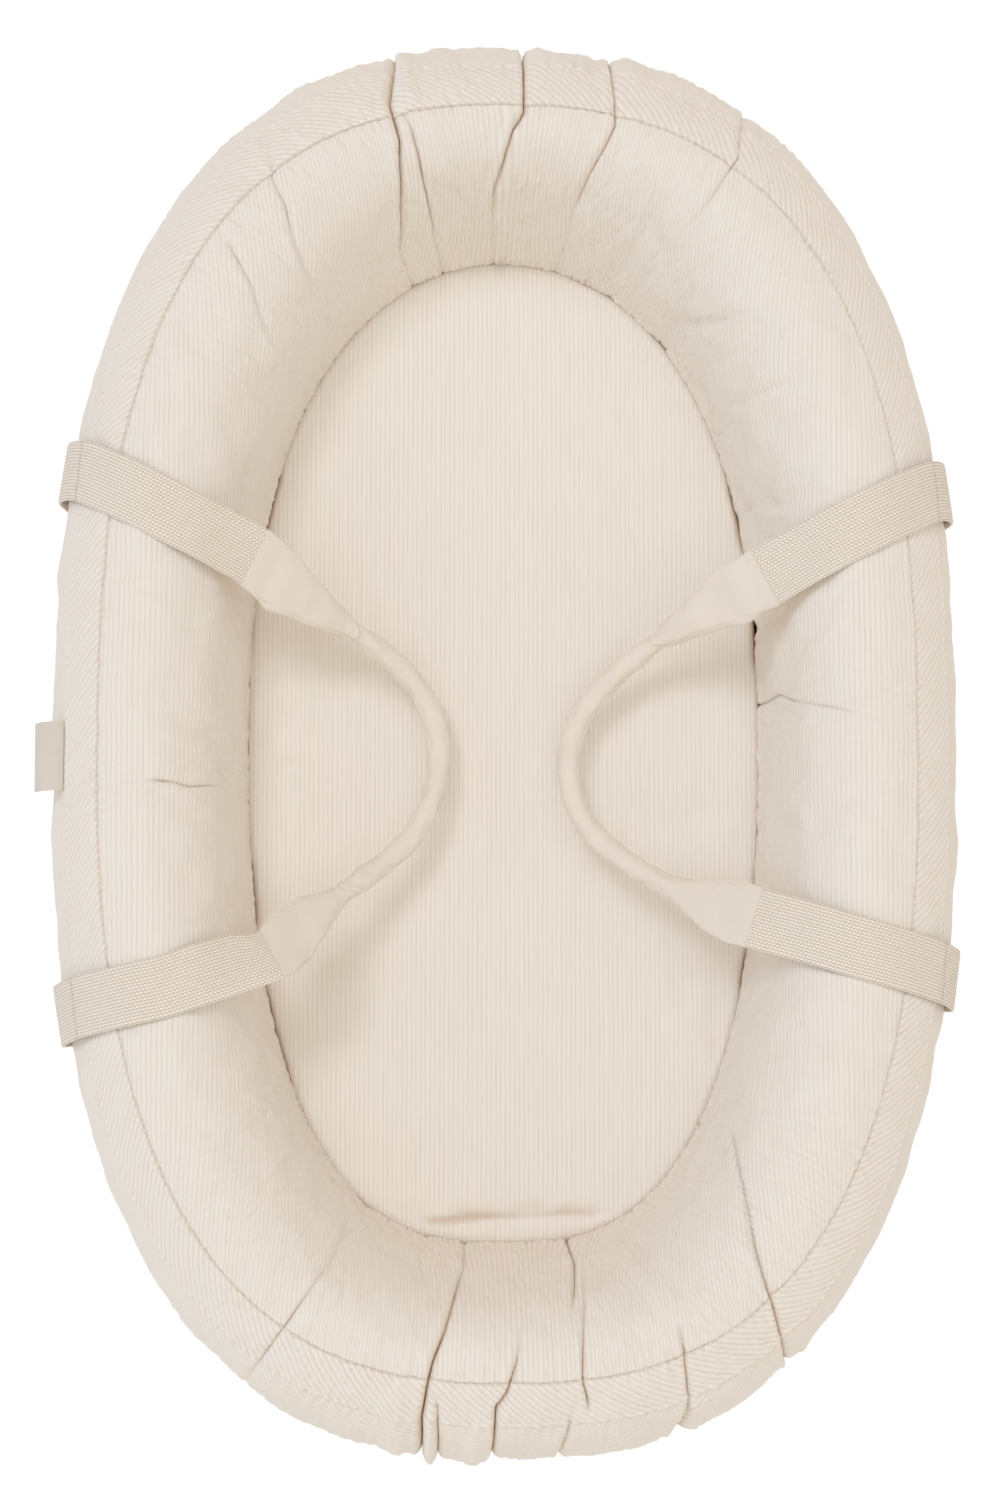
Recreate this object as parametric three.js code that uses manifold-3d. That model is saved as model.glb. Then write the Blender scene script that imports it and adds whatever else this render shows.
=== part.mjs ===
// Infant lounger: a soft roll runs round a padded floor, and a carry handle
// folds in from each side. Millimetres; X across, Y towards the head end, Z up.
// Every soft layer is drawn on the same grid: a station is a place on the way
// round the nest, and an angle is a place on the way over the roll.
import * as THREE from "three";
import Module from "manifold-3d";

const wasm = await Module();
wasm.setup();

// The nest.
const NEST_LENGTH = 896; // over the roll
const NEST_WIDTH = 572;
const NEST_POWER = 2.5; // of the superellipse, no unit
const FLOOR_LENGTH = 618; // sleeping surface, seam to seam
const FLOOR_WIDTH = 328;
const FLOOR_POWER = 2.25;
const FLOOR_SHIFT = 5; // the floor sits a little towards the head
const ROLL_HEIGHT = 150;
const ROLL_WIDEST_Z = 78; // height at which the roll is widest
const INNER_DROP = 130; // half-heights of the lower quarters of the section
const OUTER_DROP = 105;
const SEAM_Z = 36; // floor seam
const BAND_UPPER_DEG = 62; // edges of the band on the roll, at the sides
const BAND_LOWER_DEG = 36;
const BAND_END_RISE_DEG = 14; // the band sits higher at both ends

// Layers.
const COVER = 1.4; // quilted cotton
const GAP = 0.3; // between pieces that touch
const SEAM_CLEAR = 0.35; // between the floor panel and the wall
const ELASTIC = 1.0;
const BASE = 1.2;
const LINING = 1.0;
const FLOOR_RISE = 5.2; // crown of the mattress over the floor seam
const PAD_UNDER_Z = 2.3; // underside of the pad
const GROOVE_EDGE_DEG = 4;
const BOW = 0.6; // the band's flats pass this far inside its curve
const CORNER_IN = 6; // the filling's lower inner corner, from the floor line

// Gathers: each one's place across, as a share of the width, and its depth,
// as a share of the roll's height.
const headGatherShares = [
  [-0.2133, 0.0233], [-0.1084, 0.0433], [-0.007, 0.03], [0.0944, 0.03],
  [0.1958, 0.0267], [0.2797, 0.02], [-0.2885, 0.02],
];
const footGatherShares = [
  [-0.2448, 0.02], [-0.1364, 0.0267], [-0.0524, 0.0433], [0.007, 0.03],
  [0.0804, 0.0333], [0.1853, 0.0333], [0.2657, 0.0233],
];
const GATHER_HALF_WIDTH = 11;
const gatherStartShare = 0.5; // of the half-length: the gathers begin past it

// Handles.
const WEBBING_WIDTH = 38;
const WEBBING = 2; // thickness
const HINGE_GAP = 0.6;
const ANCHOR_TOP_DEG = -12;
const ANCHOR_BOTTOM_DEG = -38;
const WALL_STAND_OFF = 4; // the webbing stands clear of the outer wall
const crownShare = 0.3706; // of the width: where the webbing folds over the crown
const CROWN_REST = 0.8;
const SHOULDER_REST = 3.2; // it stands this clear where it runs down inside
const WALL_DEG = 10;
const SHOULDER_DEG = 38;
const GRIP_RADIUS = 9;
const SLEEVE = 1.0; // cloth of the grip
const MOUTH_HALF_WIDTH = 21.4; // flat ends of the sleeve
const MOUTH_HALF_DEPTH = 4;
const MOUTH_FLAT = 31; // length that stays flat
const HEAD_FLARE = 85; // length over which each end of the sleeve narrows
const FOOT_FLARE = 66;
const ROUND_POWER = 2; // of the sleeve's section, no unit
const FLAT_POWER = 4;
const LEFT_FOOT_TWIST_DEG = 36; // this leg lies twisted

// Zip, tab and elastics.
const ZIP_LENGTH = 400;
const ZIP_CENTRE_Y = 5;
const SLOT_WIDTH = 8;
const TAPE_WIDTH = 14;
const TAPE = 0.5;
const TAPE_EDGE_X = 3;
const COIL_WIDTH = 2.2;
const COIL = 1.7;
const COIL_SPACE = 1.0; // between the two coils
const SLIDER_LENGTH = 9;
const SLIDER_WIDTH = 7;
const SLIDER_PLATE = 0.5;
const SLIDER_POST = 0.5;
const SLIDER_UNDER_Z = 0.15;
const PULL_LENGTH = 20;
const PULL_WIDTH = 4;
const PULL_HOLE = 1.6;
const TAB_WIDTH = 43;
const TAB = 1.2;
const TAB_Y = -4.5;
const TAB_SEAT = 0.3; // its middle, from the wall
const TAB_DROP_DEG = 2; // below the band's lower edge
const ELASTIC_REACH = 165; // half of the run of each elastic, across the nest
const ELASTIC_EDGE_DEG = 1; // from the groove's edge

// How finely the forms are drawn.
const STATIONS = 88;
const HALF_STATIONS = STATIONS / 2;
const WALK = 2000;
const END_DENSITY = 0.9;
const SLEEVE_ROWS = 22;
const TUCK_ROWS = 2; // rows of the sleeve that the webbing reaches into
const AROUND = 12;
const CORE_AROUND = 10;
const LOWER_ROWS = 10;
const UPPER_ROWS = 5;
const SEWN_ROWS = 4;
const HOLE_FACETS = 8;
const HALVINGS = 50;

const RAD = Math.PI / 180;
const lerp = (a, b, t) => a + (b - a) * t;
function smooth(t) {
  const c = Math.min(1, Math.max(0, t));
  return c * c * (3 - 2 * c);
}

// Materials.
const cotton = new THREE.MeshStandardMaterial({ color: 0xeae1d5, roughness: 0.95 });
const bias = new THREE.MeshStandardMaterial({ color: 0xe6dccf, roughness: 0.95 });
const plain = new THREE.MeshStandardMaterial({ color: 0xe7dccf, roughness: 0.9 });
const webbingCloth = new THREE.MeshStandardMaterial({ color: 0xe2d6c6, roughness: 0.95 });
const wadding = new THREE.MeshStandardMaterial({ color: 0xf4f2ee, roughness: 1.0 });
const rubber = new THREE.MeshStandardMaterial({ color: 0xf0ece4, roughness: 0.8 });
const zipCloth = new THREE.MeshStandardMaterial({ color: 0xe8e0d2, roughness: 0.9 });
const nylon = new THREE.MeshStandardMaterial({ color: 0xe9e2d6, roughness: 0.5 });
const metal = new THREE.MeshStandardMaterial({ color: 0xc9c6bf, roughness: 0.35, metalness: 1.0 });

const part = new THREE.Group();
function add(name, geometry, material) {
  geometry.computeVertexNormals();
  const mesh = new THREE.Mesh(geometry, material.clone());
  mesh.name = name;
  part.add(mesh);
}

// A closed body from points and triangles, turned to face outwards.
function body(points, faces) {
  let volume = 0;
  for (const [a, b, c] of faces) {
    const [p, q, r] = [points[a], points[b], points[c]];
    volume += p[0] * (q[1] * r[2] - q[2] * r[1]) - p[1] * (q[0] * r[2] - q[2] * r[0])
      + p[2] * (q[0] * r[1] - q[1] * r[0]);
  }
  const order = volume < 0 ? faces.map(([a, b, c]) => [a, c, b]) : faces;
  const geometry = new THREE.BufferGeometry();
  geometry.setAttribute("position", new THREE.Float32BufferAttribute(points.flat(), 3));
  geometry.setIndex(order.flat());
  return geometry;
}

// The two outlines, by the direction of their normal.
function superellipse(halfX, halfY, power, angle) {
  const c = Math.cos(angle), s = Math.sin(angle);
  const x = Math.abs(halfX * c), y = Math.abs(halfY * s);
  const m = power / (power - 1);
  const size = Math.pow(Math.pow(x, m) + Math.pow(y, m), 1 / power);
  return [
    Math.sign(c) * halfX * Math.pow(x, 1 / (power - 1)) / size,
    Math.sign(s) * halfY * Math.pow(y, 1 / (power - 1)) / size,
  ];
}
const outerLine = (angle) => superellipse(NEST_WIDTH / 2, NEST_LENGTH / 2, NEST_POWER, angle);
function floorLine(angle) {
  const [x, y] = superellipse(FLOOR_WIDTH / 2, FLOOR_LENGTH / 2, FLOOR_POWER, angle);
  return [x, y + FLOOR_SHIFT];
}
function middle(angle) {
  const [a, b] = [floorLine(angle), outerLine(angle)];
  return [(a[0] + b[0]) / 2, (a[1] + b[1]) / 2];
}

// Station angles: equal steps along the middle line, finer towards the ends.
function quarterAngles(count) {
  const walked = [0], angles = [0];
  let before = middle(0);
  for (let i = 1; i <= WALK; i++) {
    const angle = Math.PI / 2 * i / WALK;
    const here = middle(angle);
    const step = Math.hypot(here[0] - before[0], here[1] - before[1]);
    walked.push(walked[i - 1] + step * (1 + END_DENSITY * Math.pow(Math.sin(angle), 2)));
    angles.push(angle);
    before = here;
  }
  const found = [];
  for (let k = 0, i = 0; k < count; k++) {
    const want = walked[WALK] * k / count;
    while (walked[i + 1] < want) i++;
    const share = (want - walked[i]) / (walked[i + 1] - walked[i]);
    found.push(lerp(angles[i], angles[i + 1], share));
  }
  return found;
}
const quarter = quarterAngles(STATIONS / 4);
// Every second quarter is a mirror image of the one before.
const mirrored = [Math.PI / 2, ...quarter.slice(1).reverse().map((q) => Math.PI - q)];
const halfTurn = [...quarter, ...mirrored];
const stations = [...halfTurn, ...halfTurn.map((angle) => angle + Math.PI)];

// The section of the roll.
const seamAngle = 180 + Math.asin((ROLL_WIDEST_Z - SEAM_Z) / INNER_DROP) / RAD;
const baseAngle = -Math.asin((ROLL_WIDEST_Z - BASE - GAP) / OUTER_DROP) / RAD;
const rise = (station) => BAND_END_RISE_DEG * Math.pow(Math.sin(station), 2);
const bandUpper = (station) => BAND_UPPER_DEG + rise(station);
const bandLower = (station) => BAND_LOWER_DEG + rise(station);

// How deep the gathers press in at this place.
function gather(station, degrees) {
  const [x, y] = middle(station);
  const run = (degrees - bandUpper(station)) / (seamAngle - bandUpper(station));
  if (run <= 0 || run >= 1) return 0;
  let depth = 0;
  for (const [at, deep] of y > 0 ? headGatherShares : footGatherShares) {
    const away = (x - at * NEST_WIDTH) / GATHER_HALF_WIDTH;
    depth += deep * ROLL_HEIGHT * Math.exp(-away * away);
  }
  const end = smooth((Math.abs(y) / (NEST_LENGTH / 2) - gatherStartShare) * 4);
  return depth * end * Math.pow(Math.sin(Math.PI * run), 1 / 2);
}

// A place on the roll. inward moves it into the roll along the section's normal.
function place(station, degrees, inward) {
  const from = floorLine(station), to = outerLine(station);
  const width = Math.hypot(to[0] - from[0], to[1] - from[1]);
  const along = [(to[0] - from[0]) / width, (to[1] - from[1]) / width];
  const half = width / 2, c = Math.cos(degrees * RAD), s = Math.sin(degrees * RAD);
  const above = ROLL_HEIGHT - ROLL_WIDEST_Z;
  const tall = s >= 0 ? above : (c >= 0 ? OUTER_DROP : INNER_DROP);
  const size = Math.hypot(c / half, s / tall);
  const move = inward + gather(station, degrees);
  const u = half + half * c - move * c / half / size;
  const z = ROLL_WIDEST_Z + tall * s - move * s / tall / size;
  return [from[0] + along[0] * u, from[1] + along[1] * u, z];
}
// The angle that a short length spans on the section.
function degreesFor(length, station, degrees) {
  const a = place(station, degrees, 0), b = place(station, degrees + 1, 0);
  return length / Math.hypot(b[0] - a[0], b[1] - a[1], b[2] - a[2]);
}

// Grids of points round the nest.
const ring = (at) => stations.map(at);
function quads(faces, first, second, count, closed, reverse) {
  const last = closed ? count : count - 1;
  for (let k = 0; k < last; k++) {
    const a = first + k, b = first + (k + 1) % count;
    const c = second + (k + 1) % count, d = second + k;
    if (reverse) faces.push([a, c, b], [a, d, c]);
    else faces.push([a, b, c], [a, c, d]);
  }
}
// Rows that follow one another round a section and close on the first.
function ringSolid(rows) {
  const points = rows.flat(), faces = [];
  const count = rows[0].length;
  rows.forEach((row, i) => {
    quads(faces, i * count, ((i + 1) % rows.length) * count, count, true, false);
  });
  return body(points, faces);
}
// A sheet: outer rows and inner rows, with the same split of every quad.
function ringShell(outer, inner) {
  const points = [...outer.flat(), ...inner.flat()], faces = [];
  const count = outer[0].length, under = outer.length * count;
  for (let i = 0; i + 1 < outer.length; i++) {
    quads(faces, i * count, (i + 1) * count, count, true, false);
    quads(faces, under + i * count, under + (i + 1) * count, count, true, true);
  }
  const lastRow = (outer.length - 1) * count;
  quads(faces, 0, under, count, true, true);
  quads(faces, lastRow, under + lastRow, count, true, false);
  return body(points, faces);
}
// The same, open at both ends of its run: the rows are strips.
function strip(rows) {
  const points = rows.flat(), faces = [];
  const count = rows[0].length;
  rows.forEach((row, i) => {
    quads(faces, i * count, ((i + 1) % rows.length) * count, count, false, false);
  });
  for (let i = 1; i + 1 < rows.length; i++) {
    faces.push([0, i * count, (i + 1) * count]);
    faces.push([count - 1, (i + 2) * count - 1, (i + 1) * count - 1]);
  }
  return body(points, faces);
}

// Cover panels.
const wallShares = [0, 0.2, 0.42, 0.64, 0.83, 1];
const outerShares = [0, 0.3, 0.56, 0.79, 1];
const wallRow = (share, inward) => ring((station) => {
  const top = bandUpper(station);
  const stop = top + degreesFor(GAP, station, top);
  return place(station, lerp(seamAngle, stop, share), inward);
});
const outerRow = (share, inward) => ring((station) => {
  const top = bandLower(station);
  const start = top - degreesFor(GAP, station, top);
  return place(station, lerp(start, baseAngle, share), inward);
});
const bandRow = (share, inward) => ring((station) => (
  place(station, lerp(bandUpper(station), bandLower(station), share), inward)
));
add("inner_wall_panel", ringShell(
  wallShares.map((t) => wallRow(t, 0)),
  wallShares.map((t) => wallRow(t, COVER)),
), cotton);
const bandShares = [0, 0.5, 1];
add("bias_band", ringShell(
  bandShares.map((t) => bandRow(t, 0)),
  bandShares.map((t) => bandRow(t, COVER)),
), bias);
add("outer_wall_panel", ringShell(
  outerShares.map((t) => outerRow(t, 0)),
  outerShares.map((t) => outerRow(t, COVER)),
), cotton);

// The filling of the roll, with a groove below the band for the elastics.
const FILL = COVER + GAP;
const ELASTIC_IN = FILL + BOW;
const GROOVE = ELASTIC_IN + ELASTIC + GAP;
const grooveRow = (edge, inward) => ring((station) => {
  const at = edge > 0
    ? bandUpper(station) - GROOVE_EDGE_DEG
    : bandLower(station) + GROOVE_EDGE_DEG;
  return place(station, at, inward);
});
const cornerRow = ring((station) => {
  const from = floorLine(station), to = outerLine(station);
  const width = Math.hypot(to[0] - from[0], to[1] - from[1]);
  const low = place(station, baseAngle, FILL);
  return [
    from[0] + (to[0] - from[0]) / width * CORNER_IN,
    from[1] + (to[1] - from[1]) / width * CORNER_IN,
    low[2],
  ];
});
add("bolster_roll", ringSolid([
  ...wallShares.map((t) => wallRow(t, FILL)),
  grooveRow(1, GROOVE),
  grooveRow(-1, GROOVE),
  ...outerShares.map((t) => outerRow(t, FILL)),
  cornerRow,
]), wadding);

// Elastics in the groove, one at each end.
function elastic(end) {
  const run = stations.filter((station) => {
    const [x, y] = outerLine(station);
    return end * y > 0 && Math.abs(x) < ELASTIC_REACH;
  });
  const upper = (s) => bandUpper(s) - GROOVE_EDGE_DEG - ELASTIC_EDGE_DEG;
  const lower = (s) => bandLower(s) + GROOVE_EDGE_DEG + ELASTIC_EDGE_DEG;
  return strip([
    run.map((s) => place(s, upper(s), ELASTIC_IN)),
    run.map((s) => place(s, lower(s), ELASTIC_IN)),
    run.map((s) => place(s, lower(s), ELASTIC_IN + ELASTIC)),
    run.map((s) => place(s, upper(s), ELASTIC_IN + ELASTIC)),
  ]);
}
add("head_gather_elastic", elastic(1), rubber);
add("foot_gather_elastic", elastic(-1), rubber);

// The pad: floor panel, lining and core, all on shares of the floor's edge.
const floorEdge = (station, back) => {
  const seam = place(station, seamAngle, 0);
  const from = floorLine(station), to = outerLine(station);
  const width = Math.hypot(to[0] - from[0], to[1] - from[1]);
  return [
    seam[0] - (to[0] - from[0]) / width * back,
    seam[1] - (to[1] - from[1]) / width * back,
  ];
};
const everySecond = stations.filter((_, k) => k % 2 === 0);
function floorRing(list, share, back, z) {
  return list.map((station) => {
    const [x, y] = floorEdge(station, back);
    return [x * share, FLOOR_SHIFT + (y - FLOOR_SHIFT) * share, z];
  });
}
// Faces between a full ring and one with half the stations.
function merge(faces, full, half, count, reverse) {
  for (let k = 0; k < count; k += 2) {
    const a = full + k, b = full + k + 1, c = full + (k + 2) % count;
    const d = half + k / 2, e = half + (k / 2 + 1) % (count / 2);
    const three = [[a, b, d], [b, e, d], [b, c, e]];
    for (const [p, q, r] of three) faces.push(reverse ? [p, r, q] : [p, q, r]);
  }
}
function fan(faces, first, count, centre, reverse) {
  for (let k = 0; k < count; k++) {
    const a = first + k, b = first + (k + 1) % count;
    faces.push(reverse ? [a, centre, b] : [a, b, centre]);
  }
}
const padShares = [0.87, 0.62, 0.3];
const padHeightShares = [0.72, 0.93, 0.99]; // of the floor's rise
const rimShares = [0.955, 0.34]; // the row inside the seam: of its outline, of the rise
const padSideShares = [0.925, 0.955]; // the pad's rounded side, of the outline
const padSideHeightShares = [0.2, 0.78]; // of the side's height
const padTopShare = 0.1; // of the rise, at the top of the side
const padZ = (share) => SEAM_Z - COVER + FLOOR_RISE * share;
function floorPanel() {
  const points = [], faces = [];
  const rows = [
    [stations, 1, 0], [stations, ...rimShares],
    ...padShares.map((t, i) => [everySecond, t, padHeightShares[i]]),
  ];
  for (const lift of [COVER, 0]) {
    const reverse = lift === 0;
    const starts = [];
    for (const [list, share, height] of rows) {
      starts.push(points.length);
      points.push(...floorRing(list, share, SEAM_CLEAR, padZ(height) + lift));
    }
    const centre = points.length;
    points.push([0, FLOOR_SHIFT, padZ(1) + lift]);
    quads(faces, starts[0], starts[1], STATIONS, true, reverse);
    merge(faces, starts[1], starts[2], STATIONS, reverse);
    quads(faces, starts[2], starts[3], HALF_STATIONS, true, reverse);
    quads(faces, starts[3], starts[4], HALF_STATIONS, true, reverse);
    fan(faces, starts[4], HALF_STATIONS, centre, reverse);
  }
  quads(faces, 0, points.length / 2, STATIONS, true, true);
  return body(points, faces);
}
add("floor_panel", floorPanel(), cotton);

// Rows of the pad from the rim of the opening below to the top, inside by depth.
const padOpeningShare = 0.76;
function padRows(depth, rimShare) {
  const low = PAD_UNDER_Z + depth;
  const top = (share) => padZ(share) - GAP - depth;
  const [sideLow, sideHigh] = padSideHeightShares.map((t) => lerp(low, top(0), t));
  const [turned, full] = padSideShares;
  return [
    floorRing(everySecond, rimShare, depth, low),
    floorRing(everySecond, turned, depth, low),
    floorRing(everySecond, full, depth, sideLow),
    floorRing(everySecond, full, depth, sideHigh),
    floorRing(everySecond, turned, depth, top(padTopShare)),
    ...padShares.map((t, i) => floorRing(everySecond, t, 0, top(padHeightShares[i]))),
  ];
}
function padCasing() {
  const outer = padRows(0, padOpeningShare);
  const inner = padRows(LINING, padOpeningShare);
  const points = [...outer.flat(), ...inner.flat()], faces = [];
  const count = HALF_STATIONS, under = outer.length * count;
  for (let i = 0; i + 1 < outer.length; i++) {
    quads(faces, i * count, (i + 1) * count, count, true, false);
    quads(faces, under + i * count, under + (i + 1) * count, count, true, true);
  }
  const centre = points.length;
  points.push([0, FLOOR_SHIFT, padZ(1) - GAP], [0, FLOOR_SHIFT, padZ(1) - GAP - LINING]);
  fan(faces, under - count, count, centre, false);
  fan(faces, 2 * under - count, count, centre + 1, true);
  quads(faces, 0, under, count, true, true);
  return body(points, faces);
}
add("mattress_casing", padCasing(), plain);
function padCore() {
  const depth = LINING + GAP;
  const rows = padRows(depth, padShares[1]);
  const points = rows.flat(), faces = [];
  const count = HALF_STATIONS;
  for (let i = 0; i + 1 < rows.length; i++) {
    quads(faces, i * count, (i + 1) * count, count, true, false);
  }
  const centre = points.length;
  points.push([0, FLOOR_SHIFT, padZ(1) - GAP - depth], [0, FLOOR_SHIFT, PAD_UNDER_Z + depth]);
  fan(faces, (rows.length - 1) * count, count, centre, false);
  fan(faces, 0, count, centre + 1, true);
  return body(points, faces);
}
add("mattress_core", padCore(), wadding);

// Base panel with the slot of the zip.
const shapeOf = (pairs) => new THREE.Shape(pairs.map(([x, y]) => new THREE.Vector2(x, y)));
function raised(shape, depth, z) {
  const geometry = new THREE.ExtrudeGeometry(shape, { depth, bevelEnabled: false });
  geometry.translate(0, 0, z);
  return geometry;
}
const baseShape = shapeOf(stations.map((s) => place(s, baseAngle, 0)));
const slot = new THREE.Path();
const slotX = SLOT_WIDTH / 2, slotY = ZIP_LENGTH / 2;
slot.setFromPoints([
  new THREE.Vector2(-slotX, ZIP_CENTRE_Y - slotY), new THREE.Vector2(slotX, ZIP_CENTRE_Y - slotY),
  new THREE.Vector2(slotX, ZIP_CENTRE_Y + slotY), new THREE.Vector2(-slotX, ZIP_CENTRE_Y + slotY),
]);
baseShape.holes.push(slot);
add("base_panel", raised(baseShape, BASE, 0), plain);

// Zip: a tape and a coil on each side of the slot.
function block(x0, x1, y0, y1, z0, z1) {
  const geometry = new THREE.BoxGeometry(x1 - x0, y1 - y0, z1 - z0);
  geometry.translate((x0 + x1) / 2, (y0 + y1) / 2, (z0 + z1) / 2);
  return geometry;
}
const tapeZ = BASE + GAP;
const coilZ = tapeZ + TAPE / 2 - COIL / 2;
const tapeY = slotY + TAPE_WIDTH / 2;
for (const [side, name] of [[-1, "left"], [1, "right"]]) {
  const tapeFar = side * (TAPE_EDGE_X + TAPE_WIDTH), tapeNear = side * TAPE_EDGE_X;
  add(`zip_tape_${name}`, block(
    Math.min(tapeFar, tapeNear), Math.max(tapeFar, tapeNear),
    ZIP_CENTRE_Y - tapeY, ZIP_CENTRE_Y + tapeY, tapeZ, tapeZ + TAPE,
  ), zipCloth);
  const coilNear = COIL_SPACE / 2, coilFar = coilNear + COIL_WIDTH, cut = COIL / 4;
  const section = shapeOf([
    [coilNear + cut, 0], [coilFar - cut, 0], [coilFar, cut], [coilFar, COIL - cut],
    [coilFar - cut, COIL], [coilNear + cut, COIL], [coilNear, COIL - cut], [coilNear, cut],
  ]);
  const coil = new THREE.ExtrudeGeometry(section, {
    depth: ZIP_LENGTH - 2 * GAP, bevelEnabled: false,
  });
  coil.rotateX(Math.PI / 2);
  coil.translate(0, ZIP_CENTRE_Y + slotY - GAP, coilZ);
  if (side < 0) coil.rotateZ(Math.PI).translate(0, 2 * ZIP_CENTRE_Y, 0);
  add(`zip_coil_${name}`, coil, nylon);
}

// Zip slider: two plates on a thin post, and its pull.
function toManifold(geometry) {
  const position = geometry.getAttribute("position"), index = geometry.getIndex();
  const mesh = new wasm.Mesh({
    numProp: 3,
    vertProperties: new Float32Array(position.array),
    triVerts: index
      ? new Uint32Array(index.array)
      : Uint32Array.from({ length: position.count }, (_, i) => i),
  });
  mesh.merge();
  return new wasm.Manifold(mesh);
}
function fromManifold(solid) {
  const mesh = solid.getMesh();
  const geometry = new THREE.BufferGeometry();
  geometry.setAttribute("position", new THREE.Float32BufferAttribute(mesh.vertProperties, 3));
  geometry.setIndex(Array.from(mesh.triVerts));
  return geometry;
}
const sliderY = ZIP_CENTRE_Y - slotY + PULL_LENGTH + GAP;
const sliderTop = coilZ + COIL + GAP + SLIDER_PLATE;
const lowPlate = SLIDER_UNDER_Z + SLIDER_PLATE;
const plateX = SLIDER_WIDTH / 2, postX = SLIDER_POST / 2;
const sliderSection = shapeOf([
  [-plateX, SLIDER_UNDER_Z], [plateX, SLIDER_UNDER_Z], [plateX, lowPlate], [postX, lowPlate],
  [postX, sliderTop - SLIDER_PLATE], [plateX, sliderTop - SLIDER_PLATE], [plateX, sliderTop],
  [-plateX, sliderTop], [-plateX, sliderTop - SLIDER_PLATE],
  [-postX, sliderTop - SLIDER_PLATE], [-postX, lowPlate], [-plateX, lowPlate],
]);
const sliderBody = new THREE.ExtrudeGeometry(sliderSection, {
  depth: SLIDER_LENGTH, bevelEnabled: false,
});
sliderBody.rotateX(Math.PI / 2);
sliderBody.translate(0, sliderY + SLIDER_LENGTH, 0);
const pullShape = shapeOf([
  [-PULL_WIDTH / 2, sliderY - PULL_LENGTH], [PULL_WIDTH / 2, sliderY - PULL_LENGTH],
  [PULL_WIDTH / 2, sliderY + SLIDER_LENGTH / 2], [-PULL_WIDTH / 2, sliderY + SLIDER_LENGTH / 2],
]);
const pullHole = new THREE.Path();
pullHole.absarc(0, sliderY - PULL_LENGTH + PULL_WIDTH / 2, PULL_HOLE / 2, 0, Math.PI * 2);
pullShape.holes.push(pullHole);
const pull = new THREE.ExtrudeGeometry(pullShape, {
  depth: SLIDER_PLATE, bevelEnabled: false, curveSegments: HOLE_FACETS,
});
pull.translate(0, 0, SLIDER_UNDER_Z);
add("zip_slider", fromManifold(toManifold(sliderBody).add(toManifold(pull))), metal);

// Flat strips along a line.
// A frame is a centre, the direction across at full size, and the normal.
const vector = (p) => new THREE.Vector3(...p);
function frameOf(centre, ahead, across) {
  const side = across.clone().normalize();
  const normal = ahead.clone().cross(side).normalize();
  const square = side.clone().addScaledVector(ahead, -side.dot(ahead) / ahead.lengthSq());
  return { centre, side: side.divideScalar(square.length()), normal };
}
function framesAlong(centres, across) {
  return centres.map((centre, i) => {
    const next = centres[Math.min(i + 1, centres.length - 1)];
    const last = centres[Math.max(i - 1, 0)];
    return frameOf(centre, next.clone().sub(last), across[i]);
  });
}
function offsetFrom({ centre, side, normal }, x, y) {
  const p = centre.clone().addScaledVector(side, x).addScaledVector(normal, y);
  return [p.x, p.y, p.z];
}
function ribbon(frames, width, thickness) {
  const columns = [1, 1 / 3, -1 / 3, -1];
  const corners = [...columns.map((w) => [w, 1]), ...columns.map((w) => [-w, -1])];
  return strip(corners.map(([w, n]) => (
    frames.map((frame) => offsetFrom(frame, w * width / 2, n * thickness / 2))
  )));
}

// The station whose section passes through a plan point, and the roll's top there.
function stationAt(x, y) {
  let low = 0, high = Math.PI / 2;
  const px = Math.abs(x);
  const turned = y < 0 ? -1 : 1;
  for (let i = 0; i < HALVINGS; i++) {
    const mid = (low + high) / 2, angle = mid * turned;
    const from = floorLine(angle), to = outerLine(angle);
    const cross = (to[0] - from[0]) * (y - from[1]) - (to[1] - from[1]) * (px - from[0]);
    if (cross * turned > 0) low = mid;
    else high = mid;
  }
  const angle = low * turned;
  return x < 0 ? Math.PI - angle : angle;
}
function rollTop(x, y) {
  const station = stationAt(x, y);
  const from = floorLine(station), to = outerLine(station);
  const half = Math.hypot(to[0] - from[0], to[1] - from[1]) / 2;
  const u = Math.hypot(x - from[0], y - from[1]) / half - 1;
  return ROLL_WIDEST_Z + (ROLL_HEIGHT - ROLL_WIDEST_Z) * Math.sqrt(Math.max(0, 1 - u * u));
}

// The handles' lines. Each row of a grip is x as a share of the nest's width,
// y of its length and z of the roll's height. Each leg is the y where it turns
// over the band and the y where it crosses the crown.
const leftGripShares = [
  [-0.2762, 0.1324, 0.867], [-0.2359, 0.1131, 0.787], [-0.193, 0.095, 0.693],
  [-0.1582, 0.0796, 0.6], [-0.1239, 0.0644, 0.533], [-0.0968, 0.0421, 0.48],
  [-0.0794, 0.019, 0.447], [-0.0761, -0.0036, 0.44], [-0.084, -0.0268, 0.447],
  [-0.1035, -0.0492, 0.467], [-0.133, -0.0709, 0.507], [-0.1692, -0.0919, 0.573],
  [-0.2148, -0.1107, 0.72], [-0.2538, -0.1373, 0.887],
];
const rightGripShares = [
  [0.2707, 0.1208, 0.867], [0.23, 0.1062, 0.787], [0.1922, 0.088, 0.693],
  [0.1584, 0.0753, 0.6], [0.1338, 0.0651, 0.533], [0.1012, 0.0457, 0.48],
  [0.0772, 0.0219, 0.447], [0.0674, -0.0021, 0.44], [0.0739, -0.0268, 0.447],
  [0.0946, -0.0471, 0.467], [0.1274, -0.0652, 0.507], [0.1623, -0.0821, 0.573],
  [0.2086, -0.1003, 0.68], [0.2646, -0.1133, 0.853],
];
const leftLegShares = { headTurn: 0.191, headCrown: 0.1574, footCrown: -0.1632, footTurn: -0.1867 };
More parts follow.
